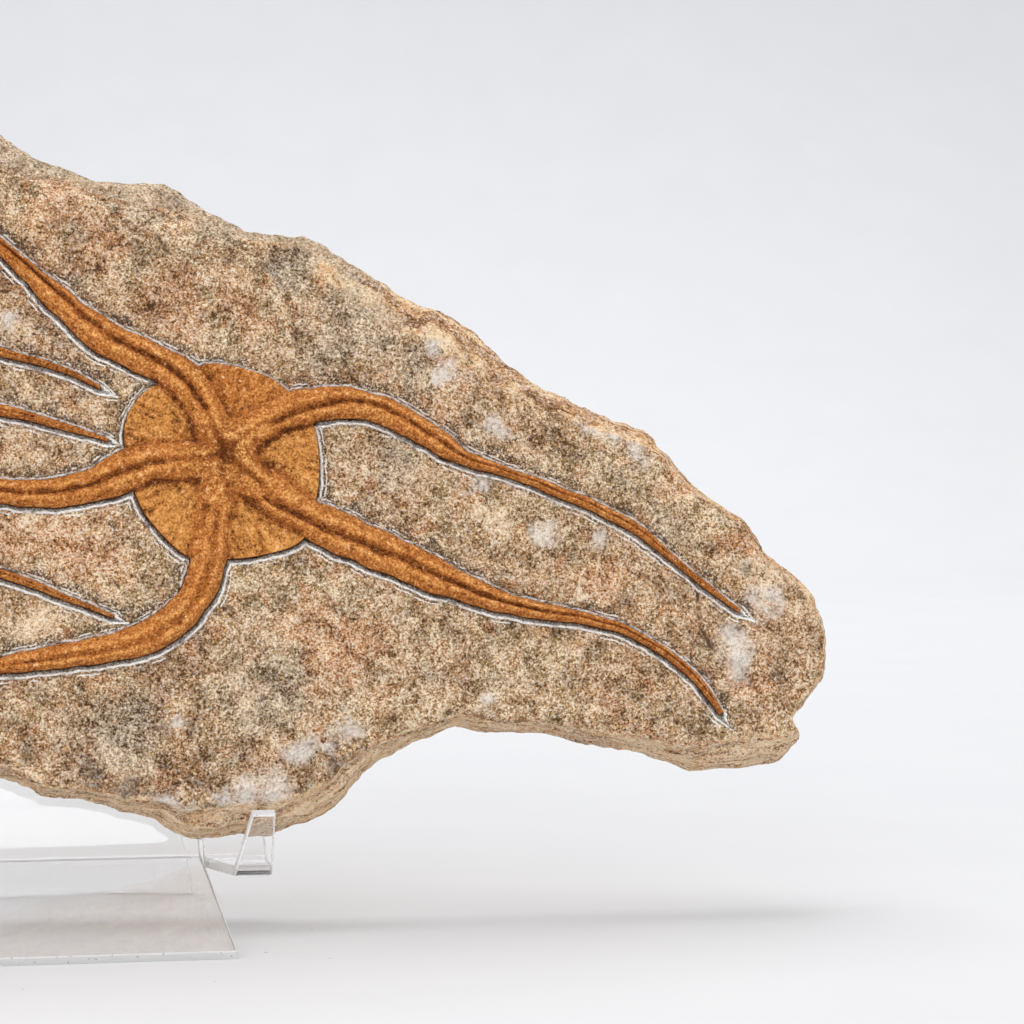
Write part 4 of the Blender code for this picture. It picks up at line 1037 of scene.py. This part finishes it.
SPOT_SIZE = 1.0  # single large grains, drawn at the coarse end of their real sizes
spots = add_node(tree, "ShaderNodeTexVoronoi", {"Vector": place, "Scale": 1.0 / SPOT_SIZE}).node.outputs
spot_kind = add_node(tree, "ShaderNodeSeparateColor", {0: spots["Color"]}).node.outputs
spot = add_node(tree, "ShaderNodeMapRange", {"Value": spots["Distance"], 1: 0.45, 2: 0.30})
inputs = {0: noise["clump"], 1: 1.2, 2: mark["dark"]}
wavy_dark = add_node(tree, "ShaderNodeMath", inputs, operation="MULTIPLY_ADD")
wavy_haze = mark["calcite"]
for part, weight in ((noise["clump"], 0.7), (noise["grain"], 1.4)):
    wavy_haze = add_node(tree, "ShaderNodeMath", {0: part, 1: weight, 2: wavy_haze}, operation="MULTIPLY_ADD")
for tint, value, start, full, most in (
    (DARK_CEMENT_AND_SHADE, tone, 0.5, 0.0, 1.0),
    (PALE_QUARTZ_AND_HIGHLIGHT, tone, 0.5, 1.0, 1.0),
    (BLACK_GRAIN, noise["grain"], 0.34, 0.25, 0.7),
    (YELLOW_GRAIN, spot_kind[0], 0.965, 0.975, 0.5),
    (BLACK_GRAIN, spot_kind[1], 0.945, 0.955, 0.6),
    (PALE_QUARTZ_AND_HIGHLIGHT, spot_kind[2], 0.95, 0.96, 0.6),
    (CHARCOAL, wavy_dark, 0.85, 1.45, 0.6),
    (WHITE_HAZE, wavy_haze, 1.00, 2.00, 0.8),
    (DARK_CEMENT_AND_SHADE, mark["crack"], 0.25, 0.9, 0.85),
):
    share = add_node(tree, "ShaderNodeMapRange", {"Value": value, 1: start, 2: full, 4: most})
    if value in list(spot_kind):
        share = add_node(tree, "ShaderNodeMath", {0: share, 1: spot}, operation="MULTIPLY")
    inputs = {0: share, 6: colour, 7: linear(tint)}
    colour = add_node(tree, "ShaderNodeMix", inputs, output=2, data_type="RGBA")

# The trench round the fossils: on the sides above a fossil a white line runs along its very edge, with
# dark dust beyond. On the sides below there is a grey scratched band, then the line, then a second line.
# All round, the rock right against a fossil's edge is painted darker as shade.
cut = add_node(tree, "ShaderNodeMath", {0: noise["waver"], 1: 0.9, 2: mark["cut"]}, operation="MULTIPLY_ADD")
cut = add_node(tree, "ShaderNodeMath", {0: cut, 1: 0.45}, operation="SUBTRACT")
upper = add_node(tree, "ShaderNodeMapRange", {"Value": mark["upward"], 1: -0.5, 2: 0.5})
line_place = add_node(tree, "ShaderNodeMath", {0: upper, 1: -0.95, 2: 1.30}, operation="MULTIPLY_ADD")
from_line = add_node(tree, "ShaderNodeMath", {0: cut, 1: line_place}, operation="SUBTRACT")
second_place = add_node(tree, "ShaderNodeMath", {0: upper, 1: -1.3, 2: 2.45}, operation="MULTIPLY_ADD")
from_second = add_node(tree, "ShaderNodeMath", {0: cut, 1: second_place}, operation="SUBTRACT")
from_line_either = add_node(tree, "ShaderNodeMath", {0: from_line}, operation="ABSOLUTE")
from_second = add_node(tree, "ShaderNodeMath", {0: from_second}, operation="ABSOLUTE")
reach = add_node(tree, "ShaderNodeMapRange", {"Value": noise["breaks"], 1: 0.42, 2: 0.68, 3: 0.8, 4: 3.8})
narrower = add_node(tree, "ShaderNodeMath", {0: upper, 1: 0.75, 2: 0.25}, operation="MULTIPLY_ADD")
reach = add_node(tree, "ShaderNodeMath", {0: reach, 1: narrower}, operation="MULTIPLY")
from_dust = add_node(tree, "ShaderNodeMath", {0: from_line, 1: reach}, operation="SUBTRACT")
near = add_node(tree, "ShaderNodeMapRange", {"Value": mark["cut"], 1: 7.0, 2: 5.0})
bright = add_node(tree, "ShaderNodeMapRange", {"Value": noise["grit"], 1: 0.38, 2: 0.62})
inputs = {0: bright, 6: linear(SCRATCH_DARK), 7: linear(SCRATCH_GREY)}
scratched = add_node(tree, "ShaderNodeMix", inputs, output=2, data_type="RGBA")
for tint, value, start, full, most, only in (
    (linear(CHARCOAL), from_dust, 0.9, -0.7, 0.9, (noise["grit"], 0.66, 0.40)),
    (scratched, from_line, 0.5, 0.0, 0.95, (mark["cut"], 7.0, 5.0)),
    # painted shade right against the fossil's edge
    (linear(CHARCOAL), cut, 0.65, 0.15, 0.45, (noise["waver"], 0.62, 0.48)),
    (linear(SCRATCH_WHITE), from_line_either, 0.42, 0.14, 0.95, (noise["breaks"], 0.32, 0.42)),
    (linear(SCRATCH_WHITE), from_second, 0.24, 0.10, 0.8, (noise["breaks"], 0.52, 0.58)),
):
    share = add_node(tree, "ShaderNodeMapRange", {"Value": value, 1: start, 2: full, 4: most})
    limit = add_node(tree, "ShaderNodeMapRange", {"Value": only[0], 1: only[1], 2: only[2]})
    share = add_node(tree, "ShaderNodeMath", {0: share, 1: limit}, operation="MULTIPLY")
    share = add_node(tree, "ShaderNodeMath", {0: share, 1: near}, operation="MULTIPLY")
    inputs = {0: share, 6: colour, 7: tint}
    colour = add_node(tree, "ShaderNodeMix", inputs, output=2, data_type="RGBA")

height = noise["grain"]
for part, weight in ((noise["clump"], 1.4), (noise["mottle"], 2.5), (chips["Distance"], -0.45)):
    height = add_node(tree, "ShaderNodeMath", {0: part, 1: weight, 2: height}, operation="MULTIPLY_ADD")
bump = add_node(tree, "ShaderNodeBump", {"Strength": 1.0, "Distance": 1.0 * MM, "Height": height})
tree.links.new(colour, shader.inputs["Base Color"])
tree.links.new(bump, shader.inputs["Normal"])
shader.inputs["Roughness"].default_value = 0.95
shader.inputs["Specular IOR Level"].default_value = 0.2

slab_piece = make_piece("sandstone_slab", slab_places, faces, sandstone)
# What the material reads at each corner, first on the face and then on the rims and the back
su, sv, sw = (np.concatenate(part) for part in (all_u, all_v, all_w))
beyond = len(su) - len(u)


def on_face(values, elsewhere=0.0):
    """Values for the face's corners, followed by one value for all the others."""
    return np.concatenate([values, np.full(beyond, elsewhere)])


top_band = ramp(u, 72.0, 84.0) * (1.0 - ramp(u, 168.0, 184.0)) * top_side
band_width = 5.0 + 2.5 * bumps(u, v, 12.0, 431) + 5.0 * np.exp(-(((u - 128.0) / 14.0) ** 2))
in_band = 1.0 - ramp(from_rim, 0.6 * band_width, band_width)
rim_mark = np.maximum(1.0 - ramp(from_rim, 0.0, 1.2), top_band * in_band)
# Painted shadow: a dark line along the face's lower edge, between u of about 14 and 92 mm
foot_edge = ramp(u, 14.0, 24.0) * (1.0 - ramp(u, 84.0, 92.0)) * (1.0 - top_side)
edge_shadow = foot_edge * (1.0 - ramp(from_rim, 0.8, 2.4)) * (from_rim > 0.2) * (v < 40.0)
paint(slab_piece, "cut", on_face(from_star, 99.0))
paint(slab_piece, "upward", on_face(upward))
paint(slab_piece, "rim", on_face(rim_mark * 0.9, 1.0))
paint(slab_piece, "layer", sw)
paint(slab_piece, "pink", on_face(pink))
# The rims are dull and grey along the top left, and the back in broad patches
wander = 14.0 * rough(su, sv + 1.5 * sw, 32.0, 461)
dull_rim = ramp(sv + wander, 30.0, 90.0) * (1.0 - ramp(su + wander, 70.0, 95.0))
dull_back = ramp(rough(su, sv, 45.0, 465), -0.35, 0.55)
on_back = ramp(-sw, SLAB_THICKNESS - 9.0, SLAB_THICKNESS - 3.0)
grey = on_face(patch_share(u, v, grey_patches, 411))
grey[len(u) :] = (dull_rim + (dull_back - dull_rim) * on_back)[len(u) :]
paint(slab_piece, "grey", grey)
paint(slab_piece, "cream", on_face(patch_share(u, v, cream_patches, 421)))
calcite = patch_share(u, v, [(a, b, 1.9 * size) for a, b, size in calcite_patches], 441)
paint(slab_piece, "calcite", on_face(calcite))
relief_shading = on_face(np.clip(relief_shading, -1.3, 1.3))
# On the rims and the back this mark only makes them lighter towards the bottom
relief_shading[len(u) :] = 1.3 * (1.0 - ramp(sv + wander, 30.0, 75.0))[len(u) :]
paint(slab_piece, "relief_shading", relief_shading)
# Dark patches, and the painted shadow along the face's lower edge
paint(slab_piece, "dark", on_face(np.maximum(patch_share(u, v, dark_patches, 451), edge_shadow)))
paint(slab_piece, "crack", on_face(crack))
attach(slab_piece, "root")
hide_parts("rock_slab")

# ---- The acrylic stand ----
# One sheet of clear cast acrylic, 2.5 mm thick, laser cut and flame polished along its edges, then bent
# hot at two lines: a foot and a backrest with a rear leg. Two hooks cut from the foot hold the slab.

GAP = 0.3  # between the slab's back and the backrest
SHEET = 2.5
STAND_MIDDLE_X = -24.0
FOOT_RISE = math.radians(14.4)
FOOT_FRONT_Y = -47.7  # where its front edge meets the table
FOOT_HALF_FRONT = 79.6
FOOT_HALF_BACK = 74.6
BEND_RADIUS = 5.0  # inside, where the foot turns up
LEG_BACK_Y = 45.6
LEG_LEAN = math.radians(4.5)
LEG_HALF_TABLE = 75.2
APEX_RADIUS = 6.0  # outside, over the top
APEX_HALF = 58.0
HOOK_OUTER = 91.0
HOOK_INNER_ROOT = 75.5
HOOK_INNER_LOW = 81.7
HOOK_INNER_TIP = 85.4
HOOK_FALL = math.radians(2.0)
HOOK_CORNER_Y = -8.7
HOOK_RADIUS = 4.0
LIP_LEAN = math.radians(30.0)
LIP_TIP_Z = 30.6
LAND_TRIM = 0.55  # sheet edges run this far under the table before they are cut flat
POLISHED_EDGE = 0.4
BEND_STEPS = 14


def arc(centre, radius, start, end, steps):
    """Points of an arc in the Y-Z plane. Angles go from +Y towards +Z."""
    points = []
    for i in range(steps + 1):
        angle = start + (end - start) * i / steps
        points.append((centre[0] + radius * math.cos(angle), centre[1] + radius * math.sin(angle)))
    return points


def between_values(a, b, t):
    """a at t = 0 and b at t = 1, and no further."""
    return a + (b - a) * max(0.0, min(1.0, t))


# Clear cast acrylic: water-clear, IOR 1.49 and mirror smooth, with a few faint smears from handling.
acrylic, tree, shader, place = new_finish("acrylic, clear cast and flame polished")
shader.inputs["Base Color"].default_value = linear("#FFFFFF")
shader.inputs["Transmission Weight"].default_value = 0.96
shader.inputs["IOR"].default_value = 1.49
smear = add_node(tree, "ShaderNodeTexNoise", {"Vector": place, "Scale": 1.0 / 14.0, "Detail": 3.0})
smear = add_node(tree, "ShaderNodeMapRange", {"Value": smear, 1: 0.45, 2: 0.75, 4: 0.09})
tree.links.new(smear, shader.inputs["Roughness"])
ripple = add_node(tree, "ShaderNodeTexNoise", {"Vector": place, "Scale": 1.0 / 22.0, "Detail": 1.0})
bump = add_node(tree, "ShaderNodeBump", {"Strength": 0.25, "Distance": 0.4 * MM, "Height": ripple})
tree.links.new(bump, shader.inputs["Normal"])

# The cut edges get a milky white, half-clear finish, rougher in places: a painted reflection that stands in
# for the white light the polished edges catch
edge_reflection, tree, shader, place = new_finish("acrylic edge, painted reflection")
frost = add_node(tree, "ShaderNodeTexNoise", {"Vector": place, "Scale": 1.0 / 1.5, "Detail": 3.0})
inputs = {0: frost, 6: linear("#F3F1EE"), 7: linear("#FFFFFF")}
edge_white = add_node(tree, "ShaderNodeMix", inputs, output=2, data_type="RGBA")
tree.links.new(edge_white, shader.inputs["Base Color"])
frosting = add_node(tree, "ShaderNodeMapRange", {"Value": frost, 3: 0.15, 4: 0.5})
tree.links.new(frosting, shader.inputs["Roughness"])
shader.inputs["Transmission Weight"].default_value = 0.45
shader.inputs["IOR"].default_value = 1.49

# The backrest's front lies a gap behind the slab's back
slab_up = Vector((math.sin(SLAB_LEAN), math.cos(SLAB_LEAN)))
slab_forward = Vector((-math.cos(SLAB_LEAN), math.sin(SLAB_LEAN)))
backrest_foot = Vector((FACE_FOOT_Y, FACE_FOOT_Z)) - slab_forward * (SLAB_THICKNESS + GAP)
foot_normal = Vector((-math.sin(FOOT_RISE), math.cos(FOOT_RISE)))
foot_front = Vector((
    FOOT_FRONT_Y + LAND_TRIM * math.tan(FOOT_RISE) - SHEET * math.sin(FOOT_RISE),
    SHEET * math.cos(FOOT_RISE) - LAND_TRIM,
))
base = backrest_foot + slab_forward * BEND_RADIUS
from_foot = (base - foot_front).dot(foot_normal)
bend_centre = base + slab_up * (BEND_RADIUS - from_foot) / slab_up.dot(foot_normal)
leg_normal = Vector((math.cos(LEG_LEAN), math.sin(LEG_LEAN)))
base = backrest_foot - slab_forward * APEX_RADIUS
from_leg = (base - Vector((LEG_BACK_Y, 0.0))).dot(leg_normal)
apex_centre = base - slab_up * (from_leg + APEX_RADIUS) / slab_up.dot(leg_normal)

foot = [tuple(foot_front)] + arc(bend_centre, BEND_RADIUS, FOOT_RISE - math.pi / 2, -SLAB_LEAN, BEND_STEPS)
join = foot[-1]
upper_profile = [join] + arc(apex_centre, APEX_RADIUS, math.pi - SLAB_LEAN, LEG_LEAN, 2 * BEND_STEPS)
upper_profile.append((LEG_BACK_Y + LAND_TRIM * math.tan(LEG_LEAN), -LAND_TRIM))
hook_rear = arc(bend_centre, BEND_RADIUS, HOOK_FALL - math.pi / 2, -SLAB_LEAN, BEND_STEPS)
corner_z = hook_rear[0][1] + (HOOK_CORNER_Y - hook_rear[0][0]) * math.tan(HOOK_FALL)
level = Vector((math.cos(HOOK_FALL), math.sin(HOOK_FALL)))
turn = math.pi / 2 - LIP_LEAN + HOOK_FALL
corner_start = Vector((HOOK_CORNER_Y, corner_z)) + level * (HOOK_RADIUS * math.tan(turn / 2))
corner_centre = corner_start + Vector((-level.y, level.x)) * HOOK_RADIUS
hook_front = arc(corner_centre, HOOK_RADIUS, -math.pi + LIP_LEAN, HOOK_FALL - math.pi / 2, BEND_STEPS)
lip_rise = (LIP_TIP_Z - hook_front[0][1]) / math.cos(LIP_LEAN)
lip_tip = (hook_front[0][0] - lip_rise * math.sin(LIP_LEAN), LIP_TIP_Z)
hook = [lip_tip] + hook_front + hook_rear


def sheet_edges(kind, k):
    """X of the sheet's corners across row k of one of its three parts."""
    if kind == "upper":
        z = upper_profile[k][1]
        if k <= 1:
            edge = between_values(HOOK_OUTER, APEX_HALF, (z - join[1]) / (apex_centre.y - join[1]))
        elif k <= BEND_STEPS + 1:
            edge = APEX_HALF
        else:
            edge = between_values(APEX_HALF, LEG_HALF_TABLE, (apex_centre.y - z) / apex_centre.y)
        return (0.0, FOOT_HALF_BACK * edge / HOOK_OUTER, HOOK_INNER_ROOT * edge / HOOK_OUTER, edge)
    if kind == "foot":
        share = (foot[k][0] - foot[0][0]) / (join[0] - foot[0][0])
        return (0.0, between_values(FOOT_HALF_FRONT, FOOT_HALF_BACK, share))
    y, z = hook[k]
    low = len(hook_front)
    if k <= low:
        share = (z - hook[low][1]) / (LIP_TIP_Z - hook[low][1])
        return (between_values(HOOK_INNER_LOW, HOOK_INNER_TIP, share), HOOK_OUTER)
    share = (y - hook[low][0]) / (hook[low + 1][0] - hook[low][0])
    return (between_values(HOOK_INNER_LOW, HOOK_INNER_ROOT, share), HOOK_OUTER)


bm = bmesh.new()
join_row = None
for kind, outline in (("upper", upper_profile), ("foot", foot), ("hook", hook)):
    sheet_rows = []
    for k, (y, z) in enumerate(outline):
        sheet_rows.append([bm.verts.new(Vector((x, y, z)) * MM) for x in sheet_edges(kind, k)])
    if kind == "upper":
        join_row = sheet_rows[0]
    else:
        sheet_rows[-1] = join_row[:2] if kind == "foot" else join_row[2:]
    for row, after in zip(sheet_rows, sheet_rows[1:]):
        for i in range(len(row) - 1):
            bm.faces.new([row[i], row[i + 1], after[i + 1], after[i]])
bmesh.ops.delete(bm, geom=[vert for vert in bm.verts if not vert.link_faces], context="VERTS")
bmesh.ops.recalc_face_normals(bm, faces=bm.faces)
half_sheet = bpy.data.meshes.new("half of the stand's sheet")
bm.to_mesh(half_sheet)
bm.free()
half_sheet.materials.append(acrylic)
half_sheet.materials.append(edge_reflection)
flat = bpy.data.objects.new("stand as drawn", half_sheet)
bpy.context.scene.collection.objects.link(flat)
mirror = flat.modifiers.new("both halves", "MIRROR")
mirror.merge_threshold = 0.0001
solidify = flat.modifiers.new("sheet", "SOLIDIFY")
solidify.thickness = SHEET * MM
solidify.offset = -1.0
solidify.use_even_offset = True
solidify.material_offset_rim = 1
bevel = flat.modifiers.new("polished edges", "BEVEL")
bevel.width = POLISHED_EDGE * MM
bevel.segments = 3
bevel.limit_method = "ANGLE"
bevel.angle_limit = math.radians(60.0)
bevel.material = 1
bpy.context.view_layer.update()
solid = bpy.data.meshes.new_from_object(flat.evaluated_get(bpy.context.evaluated_depsgraph_get()))
bpy.data.objects.remove(flat)
bm = bmesh.new()
bm.from_mesh(solid)
bmesh.ops.translate(bm, verts=bm.verts, vec=(STAND_MIDDLE_X * MM, 0.0, 0.0))
everything = list(bm.verts) + list(bm.edges) + list(bm.faces)
bmesh.ops.bisect_plane(bm, geom=everything, plane_co=(0, 0, 0), plane_no=(0, 0, 1), clear_inner=True)
bmesh.ops.holes_fill(bm, edges=[edge for edge in bm.edges if len(edge.link_faces) == 1])
bmesh.ops.recalc_face_normals(bm, faces=bm.faces)
bm.to_mesh(solid)
bm.free()
solid.name = "clear_stand"
solid.shade_smooth()
solid.set_sharp_from_angle(angle=math.radians(25.0))
stand_piece = bpy.data.objects.new("clear_stand", solid)
bpy.context.scene.collection.objects.link(stand_piece)
even = stand_piece.modifiers.new("flat sheet stays flat", "WEIGHTED_NORMAL")
even.keep_sharp = True
even.weight = 100
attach(stand_piece, "root")
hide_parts("acrylic_stand")

# ---- The table and backdrop ----
# One sweep of matt white board: flat under the object, then curving up far behind it. It isn't part of
# the object. A few crumbs of the rock lie on it round the stand.

SWEEP_HALF = 4000.0
SWEEP_FRONT = -3500.0
SWEEP_TURN = 1300.0
SWEEP_RADIUS = 1400.0
SWEEP_TOP = 4200.0
board, tree, shader, place = new_finish("white board, matt")
dust = add_node(tree, "ShaderNodeTexNoise", {"Vector": place, "Scale": 1.0 / 60.0, "Detail": 4.0})
inputs = {0: dust, 6: linear("#CECED0"), 7: linear("#D3D3D4")}
paper = add_node(tree, "ShaderNodeMix", inputs, output=2, data_type="RGBA")
# The crumbs, of under 1 mm
crumbs = add_node(tree, "ShaderNodeTexVoronoi", {"Vector": place, "Scale": 1.0 / 7.0}).node.outputs
crumb_kind = add_node(tree, "ShaderNodeSeparateColor", {0: crumbs["Color"]})
share = add_node(tree, "ShaderNodeMapRange", {"Value": crumbs["Distance"], 1: 0.07, 2: 0.04, 4: 0.8})
chosen = add_node(tree, "ShaderNodeMath", {0: crumb_kind, 1: 0.86}, operation="GREATER_THAN")
from_stand = add_node(tree, "ShaderNodeVectorMath", {0: place}, output=1, operation="LENGTH")
near = add_node(tree, "ShaderNodeMapRange", {"Value": from_stand, 1: 130.0, 2: 90.0})
share = add_node(tree, "ShaderNodeMath", {0: share, 1: chosen}, operation="MULTIPLY")
share = add_node(tree, "ShaderNodeMath", {0: share, 1: near}, operation="MULTIPLY")
inputs = {0: share, 6: paper, 7: linear("#7A5B40")}
paper = add_node(tree, "ShaderNodeMix", inputs, output=2, data_type="RGBA")
tree.links.new(paper, shader.inputs["Base Color"])
shader.inputs["Roughness"].default_value = 0.8
sweep = [(SWEEP_FRONT, 0.0)]
sweep += arc((SWEEP_TURN, SWEEP_RADIUS), SWEEP_RADIUS, -math.pi / 2, 0.0, 32)
sweep.append((SWEEP_TURN + SWEEP_RADIUS, SWEEP_TOP))
sweep_places = []
for y, z in sweep:
    sweep_places += [(-SWEEP_HALF, y, z), (SWEEP_HALF, y, z)]
sweep_faces = [[2 * k, 2 * k + 1, 2 * k + 3, 2 * k + 2] for k in range(len(sweep) - 1)]
table = make_piece("white_table", np.array(sweep_places) * MM, sweep_faces, board)

# ---- Light and camera ----
# A broad soft box overhead, another low in front to the left, a third with a grid over the backdrop, and
# white walls. The camera stands in front of the slab's middle and is turned a little to the right.


def soft_box(name, place, aim, size, power):
    """A square soft light at a place, turned to its aim. place and aim are in millimetres."""
    lamp = bpy.data.lights.new(name, "AREA")
    lamp.shape = "SQUARE"
    lamp.size = size * MM
    lamp.energy = power
    box = bpy.data.objects.new(name, lamp)
    box.location = Vector(place) * MM
    box.rotation_euler = (Vector(aim) - Vector(place)).to_track_quat("-Z", "Y").to_euler()
    bpy.context.scene.collection.objects.link(box)
    return box


soft_box("overhead soft box", (-60.0, 420.0, 1450.0), (0.0, 0.0, 60.0), 1100.0, 10.5)
soft_box("front soft box", (-500.0, -1600.0, 450.0), (0.0, 0.0, 90.0), 1500.0, 12.5)
grid_box = soft_box("backdrop soft box", (400.0, 1450.0, 1500.0), (420.0, 1650.0, 0.0), 1600.0, 2.6)
grid_box.data.spread = math.radians(70.0)  # a honeycomb grid keeps it off the object
world = bpy.data.worlds.new("white walls")
world.use_nodes = True
world.node_tree.nodes["Background"].inputs["Color"].default_value = linear("#F8F9FB")
world.node_tree.nodes["Background"].inputs["Strength"].default_value = 1.12
bpy.context.scene.world = world
bpy.context.scene.view_settings.view_transform = "Standard"
bpy.context.scene.cycles.blur_glossy = 0.0  # light passes the clear sheet without being blurred

CAMERA_PLACE = (1.868, -738.2, 127.5)
CAMERA_YAW = math.radians(9.7)  # to the right
CAMERA_PITCH = math.radians(2.0)  # down
SENSOR_WIDTH = 36.0
FOCAL_LENGTH = 105.47
lens = bpy.data.cameras.new("camera")
lens.sensor_width = SENSOR_WIDTH
lens.lens = FOCAL_LENGTH
lens.clip_start = 0.05
lens.clip_end = 50.0
camera = bpy.data.objects.new("camera", lens)
camera.location = Vector(CAMERA_PLACE) * MM
camera.rotation_euler = (math.pi / 2 - CAMERA_PITCH, 0.0, -CAMERA_YAW)
bpy.context.scene.collection.objects.link(camera)
bpy.context.scene.camera = camera
